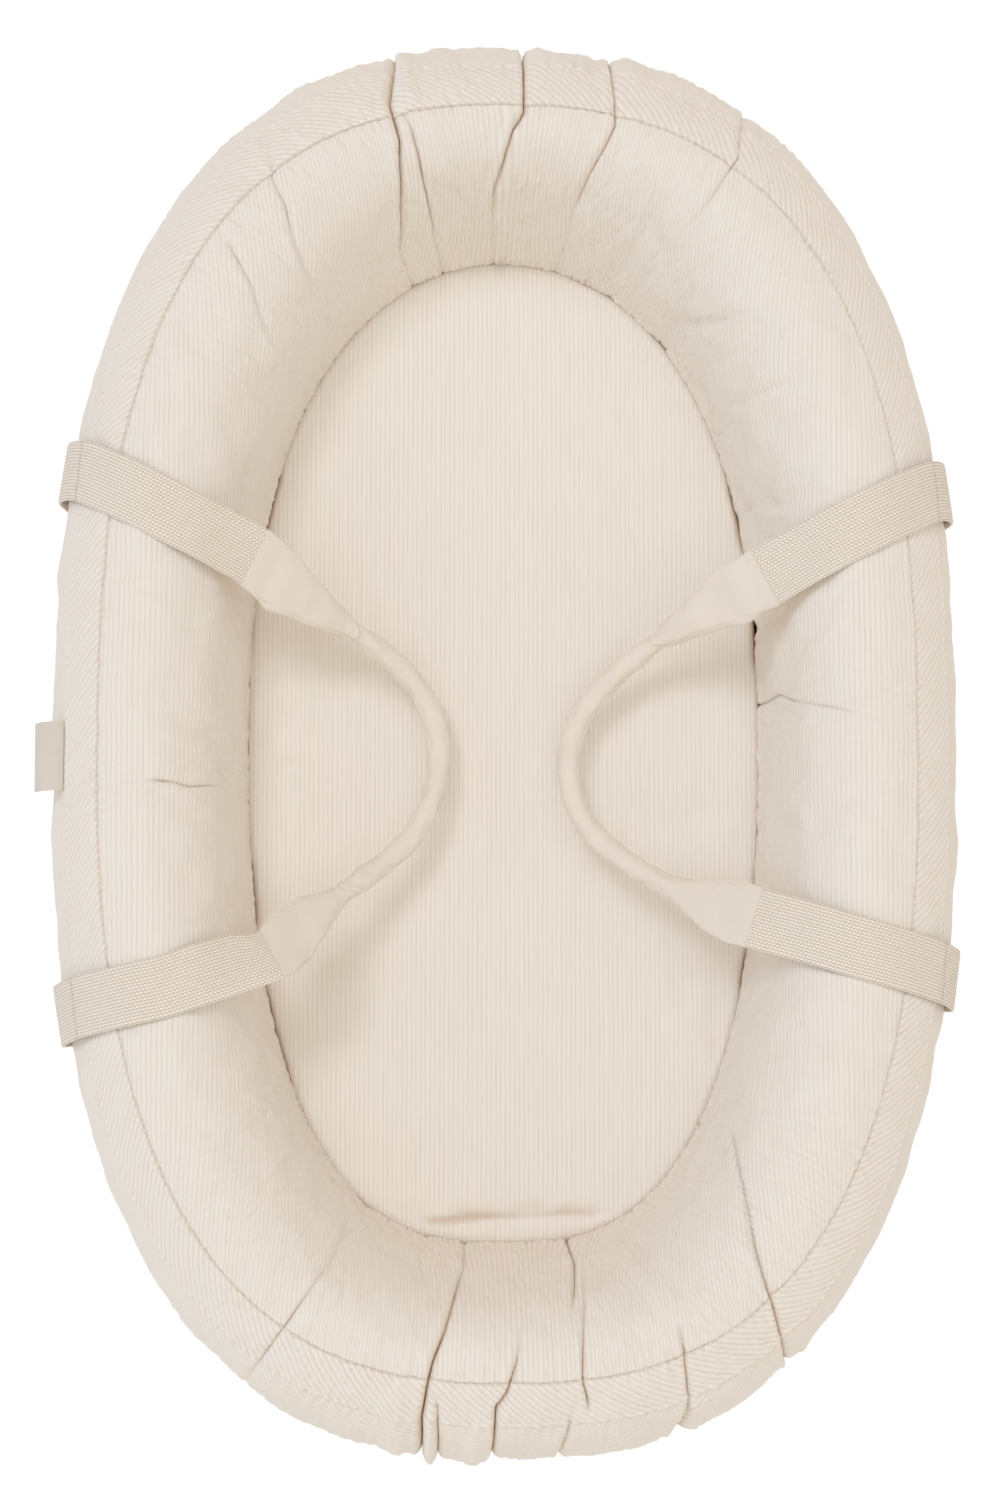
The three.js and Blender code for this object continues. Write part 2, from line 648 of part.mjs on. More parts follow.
const rightLegShares = { headTurn: 0.1794, headCrown: 0.1474, footCrown: -0.1373, footTurn: -0.1591 };
const shoulderShares = [0.36, 0.68]; // of the way from the shoulder to the crown
const mouthShares = [0.34, 0.68]; // of the way from the crown to the sleeve
const turnShare = 0.3; // how far a leg has turned from the wall's direction
const sagShare = 0.12; // of the fall from the crown to the sleeve
const fadeShares = [1, 0.8, 0.55, 0.25]; // of the mouths' directions, along the grip
const share3 = ([x, y, z]) => new THREE.Vector3(x * NEST_WIDTH, y * NEST_LENGTH, z * ROLL_HEIGHT);

// One leg, from its sewn end up the wall and over the crown to the sleeve.
function legLine(side, turnY, crownY, mouth, twist) {
  const edge = outerLine(0)[0];
  const turn = stationAt(side * edge, turnY);
  const sewn = ANCHOR_TOP_DEG + degreesFor(HINGE_GAP, turn, ANCHOR_TOP_DEG);
  const rest = GAP + WEBBING / 2;
  const tangent = new THREE.Vector3(-Math.sin(turn), Math.cos(turn), 0);
  if (tangent.y < 0) tangent.negate();
  const flat = new THREE.Vector3(0, 1, 0);
  const crownX = side * crownShare * NEST_WIDTH;
  const crown = new THREE.Vector3(crownX, crownY, ROLL_HEIGHT + CROWN_REST + WEBBING / 2);
  const points = [[vector(place(turn, sewn, -rest)), tangent]];
  points.push([vector(place(turn, WALL_DEG, -rest - WALL_STAND_OFF)), tangent]);
  const shoulder = vector(place(turn, SHOULDER_DEG, -rest - WALL_STAND_OFF));
  points.push([shoulder, tangent.clone().lerp(flat, turnShare)]);
  for (const t of shoulderShares) {
    const p = shoulder.clone().lerp(crown, t);
    p.z = rollTop(p.x, p.y) + rest + lerp(WALL_STAND_OFF, CROWN_REST, t) * (1 - t / 2);
    points.push([p, tangent.clone().lerp(flat, lerp(turnShare, 1, t))]);
  }
  points.push([crown, flat]);
  const ahead = mouth.clone().sub(crown);
  const square = new THREE.Vector3(-ahead.y, ahead.x, 0).normalize();
  if (square.y < 0) square.negate();
  const down = ahead.clone().cross(square).normalize().multiplyScalar(side);
  square.multiplyScalar(Math.cos(twist * RAD)).addScaledVector(down, Math.sin(twist * RAD));
  for (const t of mouthShares) {
    const p = crown.clone().lerp(mouth, t);
    const fall = (crown.z - mouth.z) * (t - sagShare * Math.sin(Math.PI * t));
    const dip = WEBBING_WIDTH / 2 * Math.sin(twist * t * t * RAD);
    p.z = Math.max(crown.z - fall, rollTop(p.x, p.y) + rest + SHOULDER_REST + dip);
    points.push([p, flat.clone().lerp(square, t * t)]);
  }
  return { points, square };
}

function handle(name, side, gripShares, legs, twist) {
  const grip = gripShares.map(share3);
  const head = legLine(
    side, legs.headTurn * NEST_LENGTH, legs.headCrown * NEST_LENGTH, grip[0], 0,
  );
  const foot = legLine(
    side, legs.footTurn * NEST_LENGTH, legs.footCrown * NEST_LENGTH, grip[grip.length - 1], twist,
  );
  // across directions on the grip turn with its line
  const gripRows = grip.map((p, i) => {
    const before = grip[Math.max(i - 1, 0)], after = grip[Math.min(i + 1, grip.length - 1)];
    const ahead = after.clone().sub(before);
    const square = new THREE.Vector3(-ahead.y, ahead.x, 0).normalize().multiplyScalar(-side);
    return [p, square];
  });
  fadeShares.forEach((t, i) => {
    const j = grip.length - 1 - i;
    gripRows[i][1].lerp(head.square, t).normalize();
    gripRows[j][1].lerp(foot.square.clone().negate(), t).normalize();
  });
  const rows = [
    ...head.points, ...gripRows,
    ...foot.points.reverse().map(([p, w]) => [p, w.clone().negate()]),
  ];
  const curve = new THREE.CatmullRomCurve3(rows.map(([p]) => p), false, "catmullrom", 0.5);
  const last = rows.length - 1;
  const at = (c) => curve.getPoint(c / last);
  const frameAt = (c) => {
    const small = 1 / 50;
    const ahead = at(Math.min(c + small, last)).sub(at(Math.max(c - small, 0)));
    const i = Math.min(Math.floor(c), last - 1);
    return frameOf(at(c), ahead, rows[i][1].clone().lerp(rows[i + 1][1], c - i));
  };
  const crownHead = head.points.length - 3, crownFoot = last - crownHead;
  const mouthHead = head.points.length, mouthFoot = last - mouthHead;
  // the place on the line that is this length away from a control point
  const STEP = 1 / 40;
  const from = (c, length) => {
    const way = Math.sign(length);
    let here = c, walked = 0;
    while (walked < Math.abs(length)) {
      const step = at(here + way * STEP).distanceTo(at(here));
      const share = Math.min(1, (Math.abs(length) - walked) / step);
      walked += step * share;
      here += way * STEP * share;
      if (share < 1) break;
    }
    return here;
  };
  const sample = (c0, c1, count) => Array.from({ length: count + 1 }, (_, i) => lerp(c0, c1, i / count));
  const web = (list) => ribbon(list.map(frameAt), WEBBING_WIDTH, WEBBING);
  const halfGap = HINGE_GAP / 2;
  // the sleeve's rows; the webbing inside it keeps to the same ones
  let gripLength = 0;
  for (let c = mouthHead; c < mouthFoot - STEP / 2; c += STEP) {
    gripLength += at(c + STEP).distanceTo(at(c));
  }
  const lengths = sample(0, gripLength, SLEEVE_ROWS);
  const list = lengths.map((d) => from(mouthHead, d));
  const headTuck = list.slice(0, TUCK_ROWS + 1), footTuck = list.slice(-TUCK_ROWS - 1);
  add(`${name}_head_leg_lower`, web(sample(0, from(crownHead, -halfGap), LOWER_ROWS)), webbingCloth);
  add(`${name}_foot_leg_lower`, web(sample(from(crownFoot, halfGap), last, LOWER_ROWS)), webbingCloth);
  add(`${name}_head_leg_upper`, web([
    ...sample(from(crownHead, halfGap), mouthHead, UPPER_ROWS).slice(0, -1), ...headTuck,
  ]), webbingCloth);
  add(`${name}_foot_leg_upper`, web([
    ...footTuck, ...sample(mouthFoot, from(crownFoot, -halfGap), UPPER_ROWS).slice(1),
  ]), webbingCloth);
  // sewn ends on the outer wall
  for (const [end, turnY] of [["head", legs.headTurn], ["foot", legs.footTurn]]) {
    const turn = stationAt(side * outerLine(0)[0], turnY * NEST_LENGTH);
    const tangent = new THREE.Vector3(-Math.sin(turn), Math.cos(turn), 0);
    const centres = sample(ANCHOR_BOTTOM_DEG, ANCHOR_TOP_DEG, SEWN_ROWS).map((degrees) => (
      vector(place(turn, degrees, -GAP - WEBBING / 2))
    ));
    const frames = framesAlong(centres, centres.map(() => tangent));
    add(`${name}_${end}_leg_sewn_end`, ribbon(frames, WEBBING_WIDTH, WEBBING), webbingCloth);
  }
  // the grip: a flat mouth at each end, round in the middle
  const openness = (d) => {
    const headEnd = (HEAD_FLARE - d) / (HEAD_FLARE - MOUTH_FLAT);
    const footEnd = (FOOT_FLARE - (gripLength - d)) / (FOOT_FLARE - MOUTH_FLAT);
    return smooth(Math.max(headEnd, footEnd));
  };
  const tube = (c, d, inward, rows) => {
    const open = openness(d);
    const halfW = lerp(GRIP_RADIUS, MOUTH_HALF_WIDTH, open) - inward;
    const halfD = lerp(GRIP_RADIUS, MOUTH_HALF_DEPTH, open) - inward;
    const power = lerp(ROUND_POWER, FLAT_POWER, open);
    const frame = frameAt(c);
    for (let k = 0; k < rows.length; k++) {
      const a = 2 * Math.PI * (k + 1 / 2) / rows.length;
      const x = Math.sign(Math.cos(a)) * Math.pow(Math.abs(Math.cos(a)), 2 / power) * halfW;
      const y = Math.sign(Math.sin(a)) * Math.pow(Math.abs(Math.sin(a)), 2 / power) * halfD;
      rows[k].push(offsetFrom(frame, x, y));
    }
  };
  const outer = Array.from({ length: AROUND }, () => []);
  const inner = Array.from({ length: AROUND }, () => []);
  list.forEach((c, i) => {
    tube(c, lengths[i], 0, outer);
    tube(c, lengths[i], SLEEVE, inner);
  });
  const points = [...outer.flat(), ...inner.flat()], faces = [];
  const count = list.length, under = AROUND * count;
  for (let k = 0; k < AROUND; k++) {
    const next = (k + 1) % AROUND;
    quads(faces, k * count, next * count, count, false, false);
    quads(faces, under + k * count, under + next * count, count, false, true);
    for (const [i, flip] of [[0, false], [count - 1, true]]) {
      const a = k * count + i, b = next * count + i;
      const quad = [[a, b, under + b], [a, under + b, under + a]];
      for (const [p, q, r] of quad) faces.push(flip ? [p, r, q] : [p, q, r]);
    }
  }
  add(`${name}_grip_sleeve`, body(points, faces), plain);
  const coreRows = Array.from({ length: CORE_AROUND }, () => []);
  list.forEach((c, i) => {
    if (i <= TUCK_ROWS || i >= list.length - 1 - TUCK_ROWS) return;
    tube(c, lengths[i], SLEEVE + 2 * GAP, coreRows);
  });
  add(`${name}_grip_core`, strip(coreRows), wadding);
}
handle("left", -1, leftGripShares, leftLegShares, LEFT_FOOT_TWIST_DEG);
handle("right", 1, rightGripShares, rightLegShares, 0);

// Bare tab in the band's outer seam on the left.
const tabStation = Math.PI;
const tabTop = vector(place(tabStation, BAND_LOWER_DEG - TAB_DROP_DEG, -TAB_SEAT));
tabTop.y = TAB_Y;
const tabShares = [[0, 0], [-0.14, 0.005], [-0.31, -0.1], [-0.43, -0.3]]; // of its width
const tabLine = tabShares.map(([x, z]) => (
  tabTop.clone().add(new THREE.Vector3(x * TAB_WIDTH, 0, z * TAB_WIDTH))
));
const tabFrames = framesAlong(tabLine, tabLine.map(() => new THREE.Vector3(0, 1, 0)));
add("side_tab", ribbon(tabFrames, TAB_WIDTH, TAB), plain);

export default part;
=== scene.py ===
# %% [markdown]
# An infant lounger is a stuffed roll, sewn into a ring, round a thin mattress. Two
# carry handles start low on its outer walls, run over the roll and lie folded into
# the hollow. It is photographed from almost straight above. This lesson dresses the
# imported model, node by node, with cloth, stitches and straps. Everything is in
# metres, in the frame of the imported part: X across, Y towards the head end, Z up.

import bpy
import numpy as np
from mathutils import Matrix


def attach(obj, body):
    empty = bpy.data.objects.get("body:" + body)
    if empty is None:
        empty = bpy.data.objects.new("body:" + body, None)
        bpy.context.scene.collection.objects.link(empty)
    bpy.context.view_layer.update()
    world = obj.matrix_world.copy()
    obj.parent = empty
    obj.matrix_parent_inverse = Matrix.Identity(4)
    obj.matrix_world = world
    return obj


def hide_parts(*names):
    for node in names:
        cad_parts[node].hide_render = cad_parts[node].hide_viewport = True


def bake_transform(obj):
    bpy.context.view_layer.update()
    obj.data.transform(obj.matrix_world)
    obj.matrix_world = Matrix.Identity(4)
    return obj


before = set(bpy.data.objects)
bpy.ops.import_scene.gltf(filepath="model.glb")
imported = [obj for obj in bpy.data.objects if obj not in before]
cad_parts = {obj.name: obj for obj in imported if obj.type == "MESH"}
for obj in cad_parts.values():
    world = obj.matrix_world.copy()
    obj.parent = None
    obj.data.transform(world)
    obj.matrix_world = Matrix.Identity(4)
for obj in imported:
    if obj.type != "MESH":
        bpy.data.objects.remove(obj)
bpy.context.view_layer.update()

# %% [markdown]
# The camera comes first, because folds seen in the photograph are placed along its
# lines of sight. A long lens over two metres up gives the flat look of a product
# photograph. It stands a little towards the foot end, so more of that wall shows.
# Looking almost straight down, "up" in the picture is the head end, so the axes are worked out one
# by one instead of by a tracking constraint.

# %% Camera
CAMERA_PLACE = np.array([-0.0775, -0.2533, 2.3547])
CAMERA_TARGET = np.array([-0.0036, -0.0047, 0.075])
LENS = 86.7
SENSOR = 36.0
SIGHT_LEVEL = 0.1


def unit(v):
    """Vectors divided by their own length, along the last axis."""
    return v / np.linalg.norm(v, axis=-1, keepdims=True)


ahead = unit(CAMERA_TARGET - CAMERA_PLACE)
right = unit(np.cross(ahead, (0.0, 1.0, 0.0)))
up = np.cross(right, ahead)
camera_data = bpy.data.cameras.new("above_the_nest")
camera_data.sensor_fit = "VERTICAL"
camera_data.sensor_height = SENSOR
camera_data.lens = LENS
camera = bpy.data.objects.new("above_the_nest", camera_data)
axes = np.eye(4)
axes[:3, 0], axes[:3, 1], axes[:3, 2], axes[:3, 3] = right, up, -ahead, CAMERA_PLACE
camera.matrix_world = Matrix(axes.tolist())
bpy.context.scene.collection.objects.link(camera)
bpy.context.scene.camera = camera
print("camera height over the floor:", CAMERA_PLACE[2])

# %% [markdown]
# Product light is soft. A very broad light straight above and four more, one low on
# each side, light the walls and the floor in the hollow about alike; the one at the
# head end is faint. A smaller one, high up at the head end, draws the soft shadows of
# the handles towards the foot. Weak warm light from all round fills the folds, so
# shade is warm too. Together they light a level surface at about strength 1, so a
# colour renders about as it is written. The floor is white paper: a share of it glows
# for camera rays only, so it stays white round the nest. Finishes and lights are built
# from nodes, and two helpers keep that short: one gives a socket its value, the other
# makes a node and fills its sockets.

# %% Light and floor
SKY_COLOUR = (0.455, 0.330, 0.200)
LAMPS = (("broad_light", 1.15, (0.0, 0.05, 1.0), (0.645, 0.812, 0.950)),
         ("left_light", 1.0, (-1.0, 0.0, 0.5), (0.270, 0.455, 0.665)),
         ("right_light", 1.0, (1.0, 0.0, 0.5), (0.290, 0.385, 0.475)),
         ("foot_light", 1.0, (0.0, -1.0, 0.5), (0.440, 0.505, 0.560)),
         ("head_light", 1.0, (0.0, 1.0, 0.5), (0.100, 0.100, 0.105)),
         ("key_light", 0.27, (-0.34, 0.42, 1.0), (0.415, 0.450, 0.530)))

scene = bpy.context.scene
scene.view_settings.view_transform = "Standard"


def rgba(colour):
    """A colour with an alpha of 1."""
    return (*colour, 1.0)


def plug(tree, socket, value):
    """Links another node's output to the socket, or writes a plain value there."""
    if isinstance(value, bpy.types.NodeSocket):
        tree.links.new(value, socket)
    else:
        socket.default_value = value


def add_node(tree, kind, *values, **named):
    """A node of that kind with values for its first inputs, in order, and for the
    settings and inputs that are named."""
    node = tree.nodes.new("ShaderNode" + kind)
    for key, value in named.items():
        if hasattr(node, key):
            setattr(node, key, value)
        else:
            plug(tree, node.inputs[key], value)
    for socket, value in zip(node.inputs, values):
        plug(tree, socket, value)
    return node


def empty_tree(owner):
    """The node tree of a world or a material, with nothing in it."""
    owner.use_nodes = True
    owner.node_tree.nodes.clear()
    return owner.node_tree


scene.world = bpy.data.worlds.new("studio")
tree = empty_tree(scene.world)
path = add_node(tree, "LightPath").outputs
either = add_node(tree, "Math", path["Is Camera Ray"], path["Is Glossy Ray"],
                  operation="MAXIMUM")
sky = add_node(tree, "Background", rgba(SKY_COLOUR), 1.0)
white = add_node(tree, "Background", rgba((1.0, 1.0, 1.0)), 1.0)
mix = add_node(tree, "MixShader", either.outputs[0], sky.outputs[0], white.outputs[0])
add_node(tree, "OutputWorld", mix.outputs[0])

level_light = np.array(SKY_COLOUR)
for name, angle, direction, colour in LAMPS:
    strength = max(colour)
    lamp_data = bpy.data.lights.new(name, "SUN")
    lamp_data.energy = strength
    lamp_data.angle = angle
    lamp_data.color = [part / strength for part in colour]
    lamp = bpy.data.objects.new(name, lamp_data)
    back = unit(np.array(direction))
    side = unit(np.cross((0.0, 1.0, 0.0), back))
    turned = np.eye(4)
    turned[:3, 0], turned[:3, 1], turned[:3, 2] = side, np.cross(back, side), back
    lamp.matrix_world = Matrix(turned.tolist())
    scene.collection.objects.link(lamp)
    level_light += np.array(colour) * back[2] / np.pi
print("light on a level surface:", level_light.round(3))

# %% [markdown]
# Each shape here is worked out with numpy as whole arrays of points, and one helper
# turns such arrays into a mesh object at the origin. A grid that runs round the nest
# closes on its first column; its texture coordinates have one more column, so a
# pattern can end at a seam instead of being squeezed back across it. A tube is such a
# grid with its two ends closed.

# %% Mesh helpers
def new_piece(name, points, faces, uv=None, smooth=True, flat_caps=False):
    """A mesh object from corner points, one or more arrays of faces, and for each
    of these an array of texture coordinates, one pair for each corner of a face.
    With flat_caps only the first array of faces is shaded smoothly."""
    points = np.ascontiguousarray(points, np.float32).reshape(-1, 3)
    faces = faces if isinstance(faces, list) else [faces]
    flat = np.concatenate([f.ravel() for f in faces]).astype(np.int32)
    counts = np.concatenate([np.full(len(f), f.shape[1]) for f in faces])
    starts = np.concatenate([[0], np.cumsum(counts)[:-1]]).astype(np.int32)
    mesh = bpy.data.meshes.new(name)
    mesh.vertices.add(len(points))
    mesh.vertices.foreach_set("co", points.ravel())
    mesh.loops.add(len(flat))
    mesh.loops.foreach_set("vertex_index", flat)
    mesh.polygons.add(len(starts))
    mesh.polygons.foreach_set("loop_start", starts)
    if uv is not None:
        uv = uv if isinstance(uv, list) else [uv]
        both = np.concatenate([u.reshape(-1, 2) for u in uv]).astype(np.float32)
        mesh.uv_layers.new(name="cloth").data.foreach_set("uv", both.ravel())
    mesh.update(calc_edges=True)
    rounded = np.full(len(starts), smooth)
    if flat_caps:
        rounded[len(faces[0]):] = False
    mesh.polygons.foreach_set("use_smooth", rounded)
    mesh.update()
    obj = bpy.data.objects.new(name, mesh)
    bpy.context.scene.collection.objects.link(obj)
    return obj


def grid_faces(rows, columns, closed=True, flip=False):
    """Quads of a grid of rows times columns points, and the same quads as row and
    column numbers, in which a closed grid's last column is its first again."""
    i, j = np.meshgrid(
        np.arange(rows - 1), np.arange(columns if closed else columns - 1), indexing="ij")
    i, j = i.ravel(), j.ravel()
    order = [(0, 0), (1, 0), (1, 1), (0, 1)] if flip else [(0, 0), (0, 1), (1, 1), (1, 0)]
    r = np.stack([i + a for a, _ in order], -1)
    c = np.stack([j + b for _, b in order], -1)
    return r * columns + c % columns, (r, c)


def loop_uv(u, v, corners):
    """Texture coordinates for each face corner, from grids of u and v."""
    return np.stack([u[corners], v[corners]], -1)


def close_fan(ring, centre, flip=False):
    """Triangles from a closed row of point numbers to one point."""
    after = np.roll(ring, -1)
    middle = np.full(len(ring), centre)
    pair = (after, ring) if flip else (ring, after)
    return np.stack([*pair, middle], -1)


def closed_tube(name, grid, middles, flip=False, uv=None, flat_caps=True):
    """A tube's grid of points as a piece, closed by a fan of triangles to a middle
    point at each end. Its texture coordinates are two grids, or "plan" for every
    point's own x and y."""
    rows, columns = grid.shape[:2]
    size = rows * columns
    quads, corners = grid_faces(rows, columns, flip=flip)
    points = np.concatenate([grid.reshape(-1, 3), middles])
    ring = np.arange(columns)
    faces = [quads, close_fan(ring, size, flip=not flip),
             close_fan(size - columns + ring, size + 1, flip=flip)]
    if uv == "plan":
        maps = [points[part][..., :2] for part in faces]
    elif uv:
        maps = [loop_uv(*uv, corners), *(np.zeros((*cap.shape, 2)) for cap in faces[1:])]
    else:
        maps = None
    return new_piece(name, points, faces, maps, flat_caps=flat_caps)


def round_turn(count):
    """That many angles, evenly spaced, once round."""
    return np.linspace(0.0, 2.0 * np.pi, count, endpoint=False)


def circles(one, other, count):
    """Round each place, count directions between two square ones: cos(t) of the first
    and sin(t) of the other."""
    turn = round_turn(count)[:, None]
    return one[:, None] * np.cos(turn) + other[:, None] * np.sin(turn)


def signed_power(x, power):
    """|x|^power with the sign of x."""
    return np.sign(x) * np.abs(x) ** power


def smoothstep(t):
    """0 below 0, 1 above 1, and a smooth S in between."""
    t = np.clip(t, 0.0, 1.0)
    return t * t * (3.0 - 2.0 * t)


def finish_piece(obj, material, body, slot, *nodes):
    """Gives a piece its material and its body, and hides what it replaces; slot is not used."""
    obj.data.materials.append(material)
    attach(obj, body)
    if nodes:
        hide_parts(*nodes)
    print(obj.name, "points:", len(obj.data.vertices))


PAPER_REACH, PAPER_COLOUR = 3.0, (0.97, 0.97, 0.97)
PAPER_GLOW, GLOW_STRENGTH = 0.86, 1.06
paper_points = PAPER_REACH * np.array([[-1, -1, 0], [1, -1, 0], [1, 1, 0], [-1, 1, 0]], float)
paper = new_piece("paper_floor", paper_points, np.array([[0, 1, 2, 3]]), smooth=False)
paper_finish = bpy.data.materials.new("white_paper")
tree = empty_tree(paper_finish)
matt = add_node(tree, "BsdfDiffuse", rgba(PAPER_COLOUR))
glow = add_node(tree, "Emission", rgba((1.0, 1.0, 1.0)), GLOW_STRENGTH)
path = add_node(tree, "LightPath").outputs
share = add_node(tree, "Math", path["Is Camera Ray"], PAPER_GLOW, operation="MULTIPLY")
mix = add_node(tree, "MixShader", share.outputs[0], matt.outputs[0], glow.outputs[0])
add_node(tree, "OutputMaterial", mix.outputs[0])
paper.data.materials.append(paper_finish)
print("paper floor, m:", 2.0 * PAPER_REACH)

# %% [markdown]
# The cover is a light woven cotton with fine stripes every 3 mm, each second one a little
# stronger, on cream. The stripes follow the cut of the cloth, so they're painted on the piece's
# own texture coordinates, which are lengths of cloth in metres. A stripe is the distance to the
# nearest line, turned into a soft-edged mask. Uneven yarn adds long faint streaks, some a little
# pink and some a little green. The weave itself is a small bump, and a little sheen gives the dry
# bloom of cotton. Deep in a fold, light has passed from cloth to cloth many times and is browner,
# so shade is painted there: each piece's own "fold" value, 0 to 1, mixes in a warm brown painted
# shade.

# %% Shader helpers
CREAM = (0.915, 0.850, 0.780)
BLUSH = (0.798, 0.712, 0.630)
SAGE = (0.796, 0.760, 0.665)
SHADE = (0.864, 0.783, 0.695)
# Painted shade: the warm brown that is mixed into folds and seams.
PAINTED_FOLD_SHADE = (0.560, 0.365, 0.200)


def calc(tree, operation, *values):
    """What a maths node makes of its values."""
    return add_node(tree, "Math", *values, operation=operation).outputs[0]


def mixed(tree, factor, first, second):
    """A colour between two. Sockets 0, 6 and 7 of a mix node take the factor and the
    colours, and output 2 gives the colour."""
    node = add_node(tree, "Mix", data_type="RGBA")
    for number, value in ((0, factor), (6, first), (7, second)):
        plug(tree, node.inputs[number], rgba(value) if isinstance(value, tuple) else value)
    return node.outputs[2]


def ramp(tree, value, low, high, to_low=0.0, to_high=1.0):
    """A value taken smoothly from the range low to high to another range."""
    node = add_node(tree, "MapRange", value, low, high, to_low, to_high,
                    interpolation_type="SMOOTHSTEP")
    return node.outputs["Result"]


def noise(tree, vector, size, detail=2.0, stretch=(1.0, 1.0, 1.0)):
    """Noise whose lumps are about size metres, stretched along the axes."""
    scaled = add_node(tree, "Mapping", vector, Scale=[1.0 / (size * s) for s in stretch])
    node = add_node(tree, "TexNoise", scaled.outputs[0], Scale=1.0, Detail=detail)
    return node.outputs["Fac"]


def nearness(tree, value, pitch, offset=0.0):
    """1 on evenly spaced lines and 0 half-way between them."""
    turns = calc(tree, "ADD", calc(tree, "DIVIDE", value, pitch), offset)
    away = calc(tree, "ABSOLUTE", calc(tree, "SUBTRACT", calc(tree, "FRACT", turns), 0.5))
    return calc(tree, "SUBTRACT", 1.0, calc(tree, "MULTIPLY", away, 2.0))


def finish_of(name, roughness, sheen=0.0, metallic=0.0):
    """An empty finish: its material, tree, shader and texture coordinates."""
    material = bpy.data.materials.new(name)
    material.use_nodes = True
    tree = material.node_tree
    shader = tree.nodes["Principled BSDF"]
    for key, value in (("Roughness", roughness), ("Metallic", metallic),
                       ("Specular IOR Level", 0.25), ("Sheen Weight", sheen),
                       ("Sheen Roughness", 0.55)):
        shader.inputs[key].default_value = value
    return material, tree, shader, add_node(tree, "TexCoord").outputs


def split_cloth(tree, where):
    """The two texture coordinates, across and along the cloth."""
    split = add_node(tree, "SeparateXYZ", where["UV"]).outputs
    return split["X"], split["Y"]


def coated(tree, shader, colour, height, distance, strength=1.0):
    """Gives the shader its colour, and a bump of that height field, distance metres
    deep."""
    bump = add_node(tree, "Bump", Height=height, Distance=distance, Strength=strength)
    plug(tree, shader.inputs["Base Color"], colour)
    plug(tree, shader.inputs["Normal"], bump.outputs[0])


# %% Striped cotton
STRIPE_PITCH, BIAS_PITCH = 0.0030, 0.0034
STRIPE_SWAY = 0.0012
YARN = 0.00042


def striped_cotton(name, pitch, darkness, first_share):
    """The woven cotton, with its stripes along the second texture coordinate. Each
    first stripe of a pair has only that share of the second one's strength."""
    material, tree, shader, where = finish_of(name, 0.88, sheen=0.10)
    across, along = split_cloth(tree, where)
    sway = calc(tree, "MULTIPLY", noise(tree, where["UV"], 0.05), STRIPE_SWAY)
    wavy = calc(tree, "ADD", across, sway)
    each = ramp(tree, nearness(tree, wavy, pitch), 0.25, 0.95)
    second = ramp(tree, nearness(tree, wavy, 2.0 * pitch), 0.45, 0.75,
                  first_share * darkness, darkness)
    streaks = noise(tree, where["UV"], 0.0011, 3.0, (1.0, 30.0, 1.0))
    faded = ramp(tree, streaks, 0.2, 0.8, 0.55, 1.0)
    strength = calc(tree, "MULTIPLY", calc(tree, "MULTIPLY", each, second), faded)
    hue = noise(tree, where["UV"], 0.0035, 1.0, (1.0, 14.0, 1.0))
    line = mixed(tree, ramp(tree, hue, 0.42, 0.60), BLUSH, SAGE)
    colour = mixed(tree, strength, CREAM, line)
    patches = noise(tree, where["Object"], 0.06)
    colour = mixed(tree, ramp(tree, patches, 0.35, 0.75, 0.0, 0.12), colour, SHADE)
    # Painted shade: the "fold" value mixes a warm brown into folds and seams, where shade falls.
    deep = add_node(tree, "Attribute", attribute_name="fold").outputs["Fac"]
    colour = mixed(tree, deep, colour, PAINTED_FOLD_SHADE)
    weave = calc(tree, "MULTIPLY", nearness(tree, across, YARN), nearness(tree, along, YARN))
    height = calc(tree, "ADD", calc(tree, "MULTIPLY", weave, 0.35),
                  calc(tree, "MULTIPLY", streaks, 1.2))
    coated(tree, shader, colour, height, 0.00018, 0.6)
    return material


cover_cotton = striped_cotton("striped_cotton", STRIPE_PITCH, 1.25, 0.65)
bias_cotton = striped_cotton("bias_cotton", BIAS_PITCH, 1.25, 0.9)
print("finishes:", cover_cotton.name, bias_cotton.name)

# %% [markdown]
# The handles are covered in a plain cotton canvas, and their legs are a thick woven tape. Seen
# close, the tape is rows of plump picks that lean to and fro, like knitting. The picks' tops are
# painted lighter, as painted highlight, and the gaps between them dark brown, as painted shade. A
# pick is high where it's near the middle of its row and of its own length.

# %% Canvas and webbing
CANVAS = (0.852, 0.766, 0.673)
# Painted highlight on the picks' tops and painted shade in the gaps between them.
TAPE_TOP_HIGHLIGHT = (0.975, 0.900, 0.808)
TAPE_GAP_SHADE = (0.560, 0.430, 0.300)
PICK_WIDTH = 0.0020
PICK_LENGTH = 0.0025


def darker(colour, share):
    """That share of a colour's light."""
    return tuple(part * share for part in colour)


def plain_cotton(name, colour, fuzz=0.00012):
    """A plain tight cotton in that colour."""
    material, tree, shader, where = finish_of(name, 0.9, sheen=0.10)
    patches = noise(tree, where["Object"], 0.03, 3.0)
    speck = noise(tree, where["Object"], 0.0009, 2.0)
    shade = darker(colour, 0.93)
    tone = mixed(tree, ramp(tree, patches, 0.3, 0.75, 0.0, 0.5), colour, shade)
    tone = mixed(tree, ramp(tree, speck, 0.45, 0.8, 0.0, 0.35), tone, shade)
    coated(tree, shader, tone, speck, fuzz, 0.8)
    return material


